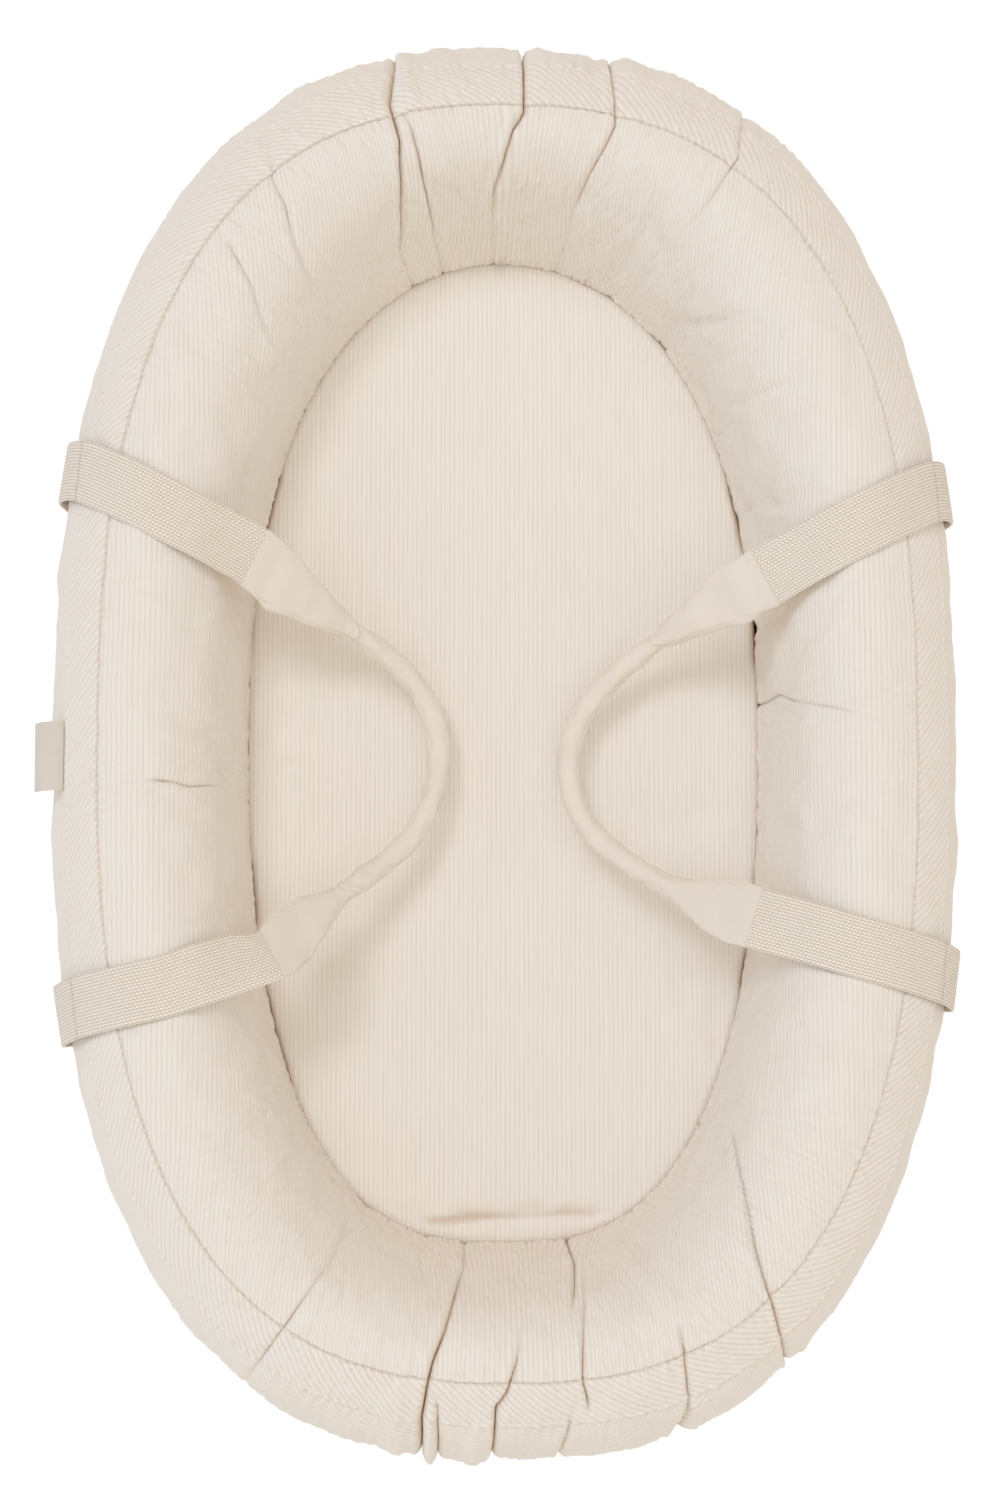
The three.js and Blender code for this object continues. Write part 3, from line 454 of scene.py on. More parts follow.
def knit_weave(name):
    """Heavy tape: the first coordinate is across it, the second along it. A pick's
    height is the 0.6th power of the half waves of its row and of its own length."""
    material, tree, shader, where = finish_of(name, 0.85, sheen=0.08)
    across, along = split_cloth(tree, where)
    row = calc(tree, "DIVIDE", across, PICK_WIDTH)
    odd = calc(tree, "GREATER_THAN", calc(tree, "FRACT", calc(tree, "MULTIPLY", row, 0.5)), 0.5)
    lean = calc(tree, "SUBTRACT", calc(tree, "MULTIPLY", odd, 1.1), 0.55)
    slant = calc(tree, "MULTIPLY", calc(tree, "FRACT", row), lean)
    turn = calc(tree, "ADD", calc(tree, "DIVIDE", along, PICK_LENGTH), slant)
    halves = (calc(tree, "MULTIPLY", calc(tree, "FRACT", part), np.pi) for part in (row, turn))
    near_row, near_pick = (calc(tree, "SINE", half) for half in halves)
    plump = calc(tree, "POWER", calc(tree, "MULTIPLY", near_row, near_pick), 0.6)
    yarn = noise(tree, where["UV"], 0.0012, 3.0)
    # Painted light and shade: the picks' tops are painted lighter and the gaps dark brown.
    tone = mixed(tree, ramp(tree, plump, 0.05, 0.62), TAPE_GAP_SHADE, TAPE_TOP_HIGHLIGHT)
    tone = mixed(tree, ramp(tree, yarn, 0.4, 0.8, 0.0, 0.25), tone, CANVAS)
    coated(tree, shader, tone, plump, 0.00045, 0.9)
    return material


canvas = plain_cotton("plain_cotton", CANVAS)
base_canvas = plain_cotton("base_canvas", (0.865, 0.799, 0.722))
# The tab's colour is darker than the canvas, partly as painted shade.
tab_cotton = plain_cotton("tab_cotton", (0.752, 0.676, 0.600), 0.00006)
thread = plain_cotton("thread", (0.777, 0.687, 0.575), 0.00004)
light_thread = plain_cotton("light_thread", (0.894, 0.830, 0.760), 0.00004)
webbing = knit_weave("webbing")
print("finishes:", canvas.name, thread.name, webbing.name)

# %% [markdown]
# Out of sight are the fillings, the elastics and the zip, which still need their
# own look: wadding is a felt of loose fibres, elastic has fine ribs along its
# length, the zip's tape is a dense twill, its coil is smooth nylon, and its slider
# is brushed metal.

# %% Fillings, elastic and zip finishes
def ribbed(name, colour, pitch, roughness):
    """Narrow woven goods with ribs across the first texture coordinate."""
    material, tree, shader, where = finish_of(name, roughness)
    rib = nearness(tree, split_cloth(tree, where)[0], pitch)
    # Painted shade: the troughs between the ribs are painted darker.
    tone = mixed(tree, ramp(tree, rib, 0.0, 0.6), darker(colour, 0.8), colour)
    coated(tree, shader, tone, rib, 0.0002)
    return material


def fibrous(name, colour):
    """A matt felt of loose fibres."""
    material, tree, shader, where = finish_of(name, 1.0, sheen=0.2)
    lumps = noise(tree, where["Object"], 0.008, 6.0)
    hairs = noise(tree, where["Object"], 0.0015, 4.0, (1.0, 5.0, 1.0))
    tone = mixed(tree, lumps, colour, darker(colour, 0.88))
    coated(tree, shader, tone, calc(tree, "ADD", lumps, hairs), 0.0012)
    return material


def worn(name, roughness, metallic, grain, first, second, depth):
    """A smooth hard finish between two tones, which its grain mixes; the grain's
    values are what noise() takes."""
    material, tree, shader, where = finish_of(name, roughness, metallic=metallic)
    marks = noise(tree, where["Object"], *grain)
    coated(tree, shader, mixed(tree, marks, first, second), marks, depth)
    return material


wadding = fibrous("wadding", (0.90, 0.89, 0.86))
elastic = ribbed("elastic", (0.86, 0.83, 0.78), 0.0009, 0.8)
zip_tape = ribbed("zip_tape", (0.80, 0.73, 0.64), 0.0007, 0.85)
nylon = worn("zip_coil", 0.38, 0.0, (0.004,), (0.80, 0.75, 0.68), (0.72, 0.66, 0.58), 0.00005)
metal = worn("zip_metal", 0.32, 1.0, (0.0004, 3.0, (1.0, 12.0, 1.0)), (0.62, 0.61, 0.59),
             (0.74, 0.73, 0.71), 0.00003)
print("finishes:", wadding.name, elastic.name, zip_tape.name, nylon.name, metal.name)

# %% [markdown]
# The roll is a ring whose section changes as it goes round. Its outer line and the
# floor's seam are both superellipses, which are ovals with fuller corners. Joining
# places on the two lines whose edges face the same way gives sections that stand
# square to the roll everywhere. The section itself is an oval, taller below its
# widest level on the inside than on the outside, and inside the crown it leans over
# towards the floor.

# %% The roll's shape
NEST_LENGTH, NEST_WIDTH, NEST_POWER = 0.896, 0.572, 2.5
FLOOR_LENGTH, FLOOR_WIDTH, FLOOR_SHIFT = 0.634, 0.328, 0.002
FLOOR_POWER, FLOOR_POWER_TILT = 2.42, 0.25
ROLL_HEIGHT, WIDEST_Z, SEAM_Z, BASE_Z = 0.150, 0.078, 0.036, 0.0015
INNER_DROP, OUTER_DROP = 0.130, 0.105
BAND_UPPER, BAND_LOWER = 62.0, 36.0
BAND_RISE_HEAD_UPPER, BAND_RISE = 18.0, 14.0
SEAM_DEG = 180.0 + np.degrees(np.arcsin((WIDEST_Z - SEAM_Z) / INNER_DROP))
BASE_DEG = -np.degrees(np.arcsin((WIDEST_Z - BASE_Z) / OUTER_DROP))
FOOT_TURN, FOOT_DEG, TURN_DEG, CROWN_DEG = 0.0045, 2.6, 130.0, 90.0
LEAN_SIDE, LEAN_END, LEAN_FROM, LEAN_OVER = 0.35, 0.85, 0.35, 0.55


def superellipse(half_x, half_y, power, angle):
    """The point of |x/a|^p + |y/b|^p = 1 whose outward normal has that angle."""
    c, s = np.cos(angle), np.sin(angle)
    x, y = np.abs(half_x * c), np.abs(half_y * s)
    m = power / (power - 1.0)
    size = (x ** m + y ** m) ** (1.0 / power)
    return np.stack([np.sign(c) * half_x * x ** (1.0 / (power - 1.0)) / size,
                     np.sign(s) * half_y * y ** (1.0 / (power - 1.0)) / size], -1)


def outer_line(angle):
    """The nest's outline in plan."""
    return superellipse(NEST_WIDTH / 2, NEST_LENGTH / 2, NEST_POWER, angle)


def floor_line(angle):
    """The line in plan under which the section starts, near the floor's seam. Its
    power is higher at the foot than at the head, so its corners are fuller there."""
    power = FLOOR_POWER - FLOOR_POWER_TILT * np.sin(angle)
    line = superellipse(FLOOR_WIDTH / 2, FLOOR_LENGTH / 2, power, angle)
    return line + np.array([0.0, FLOOR_SHIFT])


def section(station, degrees):
    """Points of the roll's skin and their outward normals. With r the distance from
    the floor line and z the height, r = h + h cos(e) + F (g - exp(-away)) and
    z = widest + t sin(d): h is half the width, t the height above, below outside or
    below inside, d the angle, e nearly d but never past 180, g a smooth step from 0
    to 1 as e falls behind d, and away the angle left to the seam over FOOT_DEG. The
    part with F turns the wall's foot in, towards the floor. Inside the crown r also
    moves a share of the way to a parabola, h (1 - sqrt(fallen)), with fallen the
    share of the height that is lost, more so at the ends, where the elastics pull
    the wall straighter. The normal is square to (dr, dz)."""
    station, degrees = np.broadcast_arrays(station, degrees)
    start, end = floor_line(station), outer_line(station)
    width = np.linalg.norm(end - start, axis=-1)
    along = (end - start) / width[..., None]
    half = width / 2
    c, s = np.cos(np.radians(degrees)), np.sin(np.radians(degrees))
    tall = np.where(s >= 0, ROLL_HEIGHT - WIDEST_Z, np.where(c >= 0, OUTER_DROP, INNER_DROP))
    z = WIDEST_Z + tall * s
    past, turning = SEAM_DEG - 180.0, SEAM_DEG - TURN_DEG
    late = np.clip((degrees - TURN_DEG) / turning, 0.0, 1.0)
    bent = np.radians(degrees - past * smoothstep(late))
    slower = 1.0 - past / turning * 6.0 * late * (1.0 - late)
    foot = np.exp(-(SEAM_DEG - degrees) / FOOT_DEG)
    r = half + half * np.cos(bent) + FOOT_TURN * (smoothstep(late) - foot)
    dr = -half * np.sin(bent) * slower - FOOT_TURN * foot / np.radians(FOOT_DEG)
    endwards = smoothstep((np.abs(np.sin(station)) - LEAN_FROM) / LEAN_OVER)
    most = np.where(degrees > CROWN_DEG, LEAN_SIDE + (LEAN_END - LEAN_SIDE) * endwards, 0.0)
    fallen = np.sqrt(np.maximum(ROLL_HEIGHT - z, 1e-9) / (ROLL_HEIGHT - SEAM_Z))
    r = r + most * (half * (1.0 - fallen) - r)
    dr = dr + most * (half * tall * c / (2.0 * fallen * (ROLL_HEIGHT - SEAM_Z)) - dr)
    point = np.concatenate([start + along * r[..., None], z[..., None]], -1)
    normal = np.concatenate([along * (tall * c)[..., None], -dr[..., None]], -1)
    return point, unit(normal)


def band_edge(station, degrees):
    """A band edge's angle on the section; the band climbs towards both ends."""
    wide = degrees == BAND_UPPER
    rise = np.where(wide & (np.sin(station) > 0), BAND_RISE_HEAD_UPPER, BAND_RISE)
    return degrees + rise * np.sin(station) ** 2


print("section, degrees: from", round(SEAM_DEG, 1), "at the floor to", round(BASE_DEG, 1))

# %% [markdown]
# Sharp folds need fine columns and smooth walls don't, so the stations aren't
# evenly spaced. A table of distances walked round the roll is stretched wherever
# folds are, and even steps through the stretched distance give the stations.

# %% Stations round the roll
COLUMNS = 1560
JOIN_ANGLE = -0.0295
END_WEIGHT, END_FROM, END_OVER = 1.5, 0.20, 0.08
SIDE_CREASES, CREASE_WEIGHT, CREASE_REACH = ((-1.0, -0.030), (1.0, 0.024)), 1.6, 0.014
WALKED_STEPS = 24001


def spaced_stations(count):
    """Station angles from the band's join on the right wall, once round."""
    angle = np.linspace(0.0, 2.0 * np.pi, WALKED_STEPS) + JOIN_ANGLE
    line = (floor_line(angle) + outer_line(angle)) / 2
    step = np.linalg.norm(np.diff(line, axis=0), axis=1)
    middle = (line[1:] + line[:-1]) / 2
    weight = 1.0 + END_WEIGHT * smoothstep((np.abs(middle[:, 1]) - END_FROM) / END_OVER)
    for half, y in SIDE_CREASES:
        near = np.exp(-((middle[:, 1] - y) / CREASE_REACH) ** 2)
        weight += CREASE_WEIGHT * near * (middle[:, 0] * half > 0)
    walked = np.concatenate([[0.0], np.cumsum(step * weight)])
    return np.interp(np.arange(count) * walked[-1] / count, walked, angle)


stations = spaced_stations(COLUMNS)
line = (floor_line(stations) + outer_line(stations)) / 2
steps = np.linalg.norm(np.roll(line, -1, axis=0) - line, axis=1)
print("columns:", COLUMNS, "steps, mm:", round(steps.min() * 1e3, 2), round(steps.max() * 1e3, 2))

# %% [markdown]
# The elastics at the head and the foot pull the cover into folds. A fold is drawn
# as a line in plan, as the camera sees it, with a depth at each of its points. Each
# place on the cloth finds its nearest point on the line. A sharp fold is a cusp with
# a broad valley round it, a plumper lip on one side, and cloth drawn in towards it
# from both sides, which closes the slit as on real gathers. A soft fold is a plain
# rounded valley. A negative depth is a ridge.

# %% Folds of the cover, in millimetres
MM = 0.001
SHARP_FOLDS = (
    (1.4, ((-72, 446, 5), (-76, 410, 7), (-68, 384, 8), (-66, 356, 6.5), (-66, 317, 3),
           (-69, 294, 0))),
    (1.2, ((-70, 409, 0), (-61, 394, 4), (-55, 372, 5), (-51, 352, 4.5), (-46, 327, 3),
           (-45, 307, 0))),
    (1.1, ((9, 452, 8), (11, 435, 7), (11, 420, 7), (11, 405, 7), (4, 392, 6), (-2, 369, 5),
           (-8, 349, 3.5), (-9, 327, 1.5), (-6, 307, 0))),
    (1.6, ((66, 446, 4), (70, 413, 4), (70, 397, 5), (62, 380, 4.5), (51, 360, 3.5), (41, 337, 2),
           (36, 306, 0))),
    (1.8, ((155, 413, 2), (151, 393, 2.5), (149, 376, 3.5), (139, 361, 3), (126, 341, 1.8),
           (117, 318, 0))),
    (1.6, ((-157, 397, 0), (-152, 373, 2), (-150, 358, 3), (-142, 343, 3.8), (-135, 318, 2.4),
           (-125, 296, 1.3), (-118, 276, 0))),
    (1.4, ((-181, 326, 0), (-175, 312, 3.2), (-164, 293, 2.8), (-154, 266, 1.8), (-145, 244, 0))),
    (1.5, ((-21, -311, 0), (-30, -337, 4), (-38, -366, 5.5), (-46, -388, 8), (-50, -405, 9),
           (-53, -424, 9), (-53, -448, 8))),
    (1.2, ((-45, -408, 0), (-43, -417, 4), (-43, -434, 6), (-43, -451, 6))),
    (1.2, ((10, -360, 0), (6, -388, 4.5), (0, -407, 6), (-7, -417, 7.5), (-8, -436, 7),
           (-10, -450, 6))),
    (1.2, ((40, -309, 0), (41, -322, 4.5), (41, -340, 4.5), (40, -358, 0))),
    (1.1, ((48, -322, 0), (47, -366, 4), (47, -400, 5.5), (50, -412, 6), (51, -421, 0))),
    (1.3, ((42, -411, 0), (37, -434, 4), (30, -449, 4))),
    (1.2, ((106, -360, 0), (110, -381, 5), (112, -400, 5.5), (113, -415, 4.5), (109, -427, 5),
           (101, -438, 6))),
    (1.1, ((137, -236, 0), (139, -250, 3), (146, -281, 4), (153, -313, 4.5), (160, -337, 5.5),
           (166, -354, 6.5), (171, -374, 6), (176, -396, 5))),
    (1.6, ((-95, -293, 0), (-107, -323, 2), (-121, -342, 2.8), (-138, -366, 4), (-148, -380, 3.5),
           (-160, -397, 1.5))),
    (1.1, ((-228, -26, 0), (-217, -27, 4.2), (-207, -28, 3.2), (-197, -31, 4.8), (-186, -30, 3),
           (-174, -31, 0))),
    (1.1, ((156, 35, 0), (163, 31, 3.6), (179, 24, 2.8), (182, 24, 2), (201, 21, 2.8),
           (222, 17, 1.4), (246, 11, 0))),
)
SOFT_FOLDS = (
    (6, ((68, 298, 0), (80, 310, 3.2), (92, 333, 4), (100, 358, 0))),
    (4.5, ((92, 278, 0), (116, 266, 3.2), (136, 266, 3.4), (154, 277, 0))),
    (4, ((143, 211, 0), (161, 220, 2.8), (180, 227, 2.6), (203, 239, 0))),
    (5, ((59, 446, 2), (56, 432, 3), (57, 416, 0))),
    (7, ((-57, -310, 0), (-55, -332, 2.6), (-46, -356, 0))),
    (7, ((-84, -276, 0), (-96, -303, 2.2), (-114, -328, 0))),
    (4, ((-249, 76, 0), (-217, 73, 1.4), (-178, 72, 0))),
    (5, ((-250, 17, 0), (-223, 17, 1.8), (-208, 15, 1.6), (-193, 3, 2.2), (-167, 0, 0))),
    (4, ((150, 151, 0), (164, 149, 1.8), (178, 150, 0))),
    (4, ((156, 158, 0), (180, 157, 1.2), (201, 161, 0))),
    (4, ((164, 81, 0), (171, 76, 2.4), (178, 77, 0))),
    (4, ((162, -54, 0), (178, -55, 1.4), (198, -62, 0))),
    (6, ((-72, 446, -3), (-64, 430, -5), (-62, 412, -4), (-64, 396, 0))),
    (5, ((-48, 448, -3), (-40, 440, -2), (-36, 430, 0))),
    (5, ((20, 452, -3), (20, 436, -2), (22, 420, 0))),
    (6, ((76, 446, -4), (80, 430, -3), (82, 414, 0))),
    (5, ((-48, -424, -3), (-48, -440, -5), (-48, -454, -6))),
    (6, ((-18, -430, -2), (-20, -444, -4), (-20, -456, -5))),
    (6, ((118, -420, -2), (116, -434, -4), (110, -444, -5))),
    (6, ((184, -370, 0), (188, -384, -3), (188, -398, -4))),
    (7, ((-66, -380, 0), (-68, -410, -3), (-68, -446, -3))),
    (6, ((161, 91, 0), (171, 81, 2.4), (180, 63, 0))),
    (4, ((158, 153, 0), (172, 150, 2), (187, 152, 0))),
    (4, ((161, 145, 0), (171, 142, -1.5), (186, 145, 0))),
    (5, ((-172, -77, 0), (-189, -82, 1.6), (-210, -81, 0))),
    (4, ((-168, -105, 0), (-184, -112, 1.4), (-204, -115, 0))),
)


SHARPNESS = 0.86
VALLEYS = ((0.36, 4.0), (0.26, 8.5))
LIPS, LIP_WIDTH = ((0.42, 3.0), (0.20, -3.0)), 1.7
DRAWN_IN, DRAWN_REACH = 0.88, 2.4
SHARP_REACH, SOFT_REACH = 17.0, 4.0


def sight_plan(points):
    """Where the camera's line of sight to each point meets a level sheet."""
    ray = points - CAMERA_PLACE
    reach = (SIGHT_LEVEL - CAMERA_PLACE[2]) / ray[..., 2]
    return (CAMERA_PLACE + ray * reach[..., None])[..., :2]


def nearest_on(line, guide):
    """For points in plan: the vector to a line's nearest point, the distance with a
    sign for its side, and the depth given there. Along each length of the line the
    nearest point is the share (g - a).(b - a) / (b - a).(b - a) of the way."""
    knots = np.array(line, float) * MM
    spots, deep = knots[:, :2], knots[:, 2]
    best = np.full(len(guide), np.inf)
    to_line, signed, depth = np.zeros_like(guide), np.zeros(len(guide)), np.zeros(len(guide))
    for a, b, da, db in zip(spots[:-1], spots[1:], deep[:-1], deep[1:]):
        run = b - a
        t = np.clip((guide - a) @ run / (run @ run), 0.0, 1.0)
        gap = a + t[:, None] * run - guide
        away = np.hypot(gap[:, 0], gap[:, 1])
        near = away < best
        best = np.where(near, away, best)
        cross = run[0] * gap[:, 1] - run[1] * gap[:, 0]
        to_line = np.where(near[:, None], gap, to_line)
        signed = np.where(near, np.sign(cross) * away, signed)
        depth = np.where(near, da + (db - da) * t, depth)
    return to_line, signed, depth


def folds_at(guide, sharp=SHARP_FOLDS, soft=SOFT_FOLDS):
    """How far the cloth is pressed in, how far it's drawn across, and how deep it
    lies in a sharp fold, at each guide point: the sum over all folds near it. With w
    a sharp fold's width and a the distance from its line, it presses by its depth
    times exp(-a/w) + valleys - lips, each of these a bell of its own height, width
    and place. A soft fold presses by its depth times exp(-(a/w)^2)."""
    shape = guide.shape[:-1]
    guide = guide.reshape(-1, 2)
    press, drawn = np.zeros(len(guide)), np.zeros_like(guide)
    slit = np.zeros(len(guide))
    for kind, table in ((1, sharp), (0, soft)):
        for width, line in table:
            wide = width * MM
            spots = np.array(line, float)[:, :2] * MM
            reach = wide * (SHARP_REACH if kind else SOFT_REACH)
            near = np.all((guide > spots.min(0) - reach) & (guide < spots.max(0) + reach), 1)
            picked = np.flatnonzero(near)
            to_line, signed, depth = nearest_on(line, guide[picked])
            away = np.abs(signed)
            if kind:
                cusp = np.exp(-away / wide)
                valleys = sum(h * np.exp(-(away / (w * wide)) ** 2) for h, w in VALLEYS)
                lips = sum(h * np.exp(-((signed - place * wide) / (LIP_WIDTH * wide)) ** 2)
                           for h, place in LIPS)
                press[picked] += SHARPNESS * depth * (cusp + valleys - lips)
                slit[picked] += SHARPNESS * depth * cusp
                full = max(abs(p[2]) for p in line) * MM
                close = np.exp(-(away / (DRAWN_REACH * wide)) ** 2) * np.abs(depth) / full
                close *= DRAWN_IN
                drawn[picked] += to_line * close[:, None]
            else:
                press[picked] += depth * np.exp(-(away / wide) ** 2)
    return press.reshape(shape), drawn.reshape(*shape, 2), slit.reshape(shape)


print("folds:", len(SHARP_FOLDS), "sharp,", len(SOFT_FOLDS), "soft")

# %% [markdown]
# Cloth is never quite even. Small waves of a few lengths, with seeded random
# directions, give its slight unevenness, and along each seam the stitching puckers
# it a little. Both are sums of sines, so the shape is the same at any resolution.

# %% Unevenness and puckers
chance = np.random.default_rng(11)
WAVES = [(unit(chance.normal(size=2)), 2.0 * np.pi / chance.uniform(0.022, 0.085),
          chance.uniform(0.0, 2.0 * np.pi)) for _ in range(26)]
PUCKERS = [(2.0 * np.pi / chance.uniform(0.0045, 0.017), chance.uniform(0.0, 2.0 * np.pi))
           for _ in range(14)]


def uneven(u, v):
    """A gentle sum of waves over the cloth, about one unit high."""
    total = sum(np.sin((u * d[0] + v * d[1]) * k + p) for d, k, p in WAVES)
    return total / np.sqrt(len(WAVES) / 2.0)


def pucker(run):
    """An irregular ripple along a seam, about one unit high."""
    total = sum(np.sin(run * k + p) for k, p in PUCKERS)
    return total / np.sqrt(len(PUCKERS) / 2.0)


def puckered(run, away, height, reach, start=None):
    """The ripple of a seam at a distance from it: it dies out over the reach, and
    grows from nothing within the start, where the stitches hold the cloth."""
    ripple = height * pucker(run) * np.exp(-away / reach)
    return ripple if start is None else ripple * smoothstep(away / start)


def groove(away, depth, reach):
    """A sharp groove along a seam: its depth times exp(-away / reach)."""
    return depth * np.exp(-away / reach)


def bulge(away, height, place, reach):
    """A round ridge beside a seam: its height times exp(-((away - place) / reach)^2)."""
    return height * np.exp(-((away - place) / reach) ** 2)


print("waves:", len(WAVES), "ripples:", len(PUCKERS))

# %% [markdown]
# Each handle is one long strap. It's sewn flat to the outer wall, stands clear of it,
# folds over the roll's crown and slips into a soft sleeve that narrows from a flat
# mouth to a round grip. Its middle line runs through a list of places joined by
# Catmull-Rom curves; at each place the strap also has a direction across it.

# %% Lines of the handles
WEBBING_WIDTH, WEBBING = 0.038, 0.0022
SEWN_DEG, ANCHOR_DEG, WALL_DEG, SHOULDER_DEG = -12.0, -38.0, 10.0, 38.0
REST, WALL_STAND_OFF, CROWN_REST, SHOULDER_REST = 0.0013, 0.004, 0.0008, 0.0032
CROWN_X, CROWN_GAP, MOUTH_HEAD, MOUTH_FOOT = 0.212, 0.001, 8, 21
SHOULDER_TURN, OUTER_SHARES, INNER_SHARES, SAG = 0.3, (0.36, 0.68), (0.34, 0.68), 0.12
BLENDED_TURNS = (1.0, 0.8, 0.55, 0.25)
GRIPS = {
    "left": ((-158.5, 109.5, 130.0), (-140.1, 95.1, 118.0), (-119.0, 81.4, 104.0),
             (-101.8, 72.2, 90.0), (-85.1, 62.3, 80.0), (-68.6, 49.3, 72.0), (-53.8, 32.6, 67.0),
             (-44.5, 11.8, 66.0), (-42.4, -12.2, 67.0), (-47.6, -37.8, 70.0),
             (-62.0, -63.4, 76.0), (-90.0, -88.0, 88.0), (-118.0, -110.6, 108.0),
             (-145.8, -137.0, 133.0)),
    "right": ((160.8, 98.6, 130.0), (141.3, 89.2, 118.0), (121.7, 78.6, 104.0),
              (103.0, 68.0, 90.0), (87.0, 57.6, 80.0), (69.0, 42.9, 72.0), (52.9, 24.4, 67.0),
              (43.2, 4.0, 66.0), (40.6, -18.4, 67.0), (46.4, -43.6, 70.0),
              (64.4, -66.4, 76.0), (90.0, -85.2, 86.0), (119.6, -101.2, 103.0),
              (152.8, -114.4, 128.0)),
}
LEGS = {"left": ((170.2, 135.5), (-177.0, -158.5), 36.0),
        "right": ((159.5, 125.5), (-153.0, -133.0), 0.0)}
SIDES = {"left": -1.0, "right": 1.0}


def station_at(x, y):
    """The station whose section passes through a place in plan, by halving."""
    low, high, turned = 0.0, np.pi / 2, (-1.0 if y < 0 else 1.0)
    for _ in range(50):
        angle = (low + high) / 2 * turned
        start, end = floor_line(angle), outer_line(angle)
        cross = (end[0] - start[0]) * (y - start[1]) - (end[1] - start[1]) * (abs(x) - start[0])
        low, high = ((low + high) / 2, high) if cross * turned > 0 else (low, (low + high) / 2)
    return np.pi - low * turned if x < 0 else low * turned


def roll_top(x, y):
    """The height of the roll over a place in plan: its section's ellipse gives
    widest + h sqrt(1 - u^2), with u the share of half the width from the middle."""
    station = station_at(x, y)
    start, end = floor_line(station), outer_line(station)
    half = np.linalg.norm(end - start) / 2
    u = np.hypot(x - start[0], y - start[1]) / half - 1.0
    return WIDEST_Z + (ROLL_HEIGHT - WIDEST_Z) * np.sqrt(max(0.0, 1.0 - u * u))


def off_wall(station, degrees, out):
    """A point that far outside the roll's skin."""
    point, normal = section(np.array(station), np.array(degrees))
    return point + normal * out


def leg_line(side, turn_y, crown_y, mouth, twist):
    """Places and directions of one leg, from its sewn end to the sleeve: up the wall
    at a small distance from it, over the roll's top, and down to the sleeve's mouth
    with a little sag, twisting on the way."""
    station = station_at(side * outer_line(0.0)[0], turn_y)
    tangent = np.array([-np.sin(station), np.cos(station), 0.0])
    tangent *= np.sign(tangent[1])
    flat = np.array([0.0, 1.0, 0.0])
    crown = np.array([side * CROWN_X, crown_y, ROLL_HEIGHT + CROWN_REST + CROWN_GAP])
    shoulder = off_wall(station, SHOULDER_DEG, REST + WALL_STAND_OFF)
    rows = [(off_wall(station, SEWN_DEG, REST), tangent),
            (off_wall(station, WALL_DEG, REST + WALL_STAND_OFF), tangent),
            (shoulder, tangent + (flat - tangent) * SHOULDER_TURN)]
    for t in OUTER_SHARES:
        p = shoulder + (crown - shoulder) * t
        clear = (WALL_STAND_OFF + (CROWN_REST - WALL_STAND_OFF) * t) * (1.0 - t / 2)
        p[2] = roll_top(p[0], p[1]) + REST + clear
        turned = SHOULDER_TURN + (1.0 - SHOULDER_TURN) * t
        rows.append((p, tangent + (flat - tangent) * turned))
    rows.append((crown, flat))
    way = mouth - crown
    square = unit(np.array([-way[1], way[0], 0.0]))
    square *= np.sign(square[1])
    down = unit(np.cross(way, square)) * side
    square = square * np.cos(np.radians(twist)) + down * np.sin(np.radians(twist))
    for t in INNER_SHARES:
        p = crown + way * t
        fall = (crown[2] - mouth[2]) * (t - SAG * np.sin(np.pi * t))
        dip = WEBBING_WIDTH / 2 * np.sin(np.radians(twist * t * t))
        p[2] = max(crown[2] - fall, roll_top(p[0], p[1]) + REST + SHOULDER_REST + dip)
        rows.append((p, flat + (square - flat) * t * t))
    return rows, square


def handle_rows(name):
    """All places of a handle and its directions across them."""
    side = SIDES[name]
    grip = np.array(GRIPS[name]) * MM
    (head_turn, head_crown), (foot_turn, foot_crown), twist = LEGS[name]
    head, head_square = leg_line(side, head_turn * MM, head_crown * MM, grip[0], 0.0)
    foot, foot_square = leg_line(side, foot_turn * MM, foot_crown * MM, grip[-1], twist)
    way = np.concatenate([grip[1:], grip[-1:]]) - np.concatenate([grip[:1], grip[:-1]])
    square = -side * unit(np.stack([-way[:, 1], way[:, 0], 0.0 * way[:, 0]], -1))
    for i, t in enumerate(BLENDED_TURNS):
        square[i] = unit(square[i] + (head_square - square[i]) * t)
        square[-1 - i] = unit(square[-1 - i] + (-foot_square - square[-1 - i]) * t)
    places = [p for p, _ in head] + list(grip) + [p for p, _ in foot[::-1]]
    across = [a for _, a in head] + list(square) + [-a for _, a in foot[::-1]]
    return np.array(places), np.array(across)


def smooth_between(p0, p1, p2, p3, t):
    """The Catmull-Rom value a share t of the way from p1 to p2: the cubic that
    leaves p1 along p2 - p0 and reaches p2 along p3 - p1, both halved."""
    a, b = 0.5 * (p2 - p0), 0.5 * (p3 - p1)
    return p1 + t * (a + t * ((-3 * p1 + 3 * p2 - 2 * a - b) + t * (2 * p1 - 2 * p2 + a + b)))


def curve_at(places, c):
    """Catmull-Rom points at the numbers c, counted in rows."""
    before, after = 2 * places[0] - places[1], 2 * places[-1] - places[-2]
    padded = np.concatenate([before[None], places, after[None]])
    i = np.clip(np.floor(c).astype(int), 0, len(places) - 2)
    return smooth_between(*(padded[i + k] for k in range(4)), (c - i)[:, None])


NEAR_BY, LINE_STEPS = 0.02, 3001


def frames_at(line, c):
    """Centres, directions across at full size, and normals at the numbers c. The way
    ahead is the step between two near places, and a normal is square to it and to the
    direction across."""
    places, across = line
    last = len(places) - 1
    c = np.asarray(c, float)
    way = (curve_at(places, np.minimum(c + NEAR_BY, last))
           - curve_at(places, np.maximum(c - NEAR_BY, 0)))
    i = np.clip(np.floor(c).astype(int), 0, last - 1)
    side = unit(across[i] + (across[i + 1] - across[i]) * (c - i)[:, None])
    normal = unit(np.cross(way, side))
    square = side - way * (np.sum(side * way, -1) / np.sum(way * way, -1))[:, None]
    return curve_at(places, c), side / np.linalg.norm(square, axis=-1, keepdims=True), normal


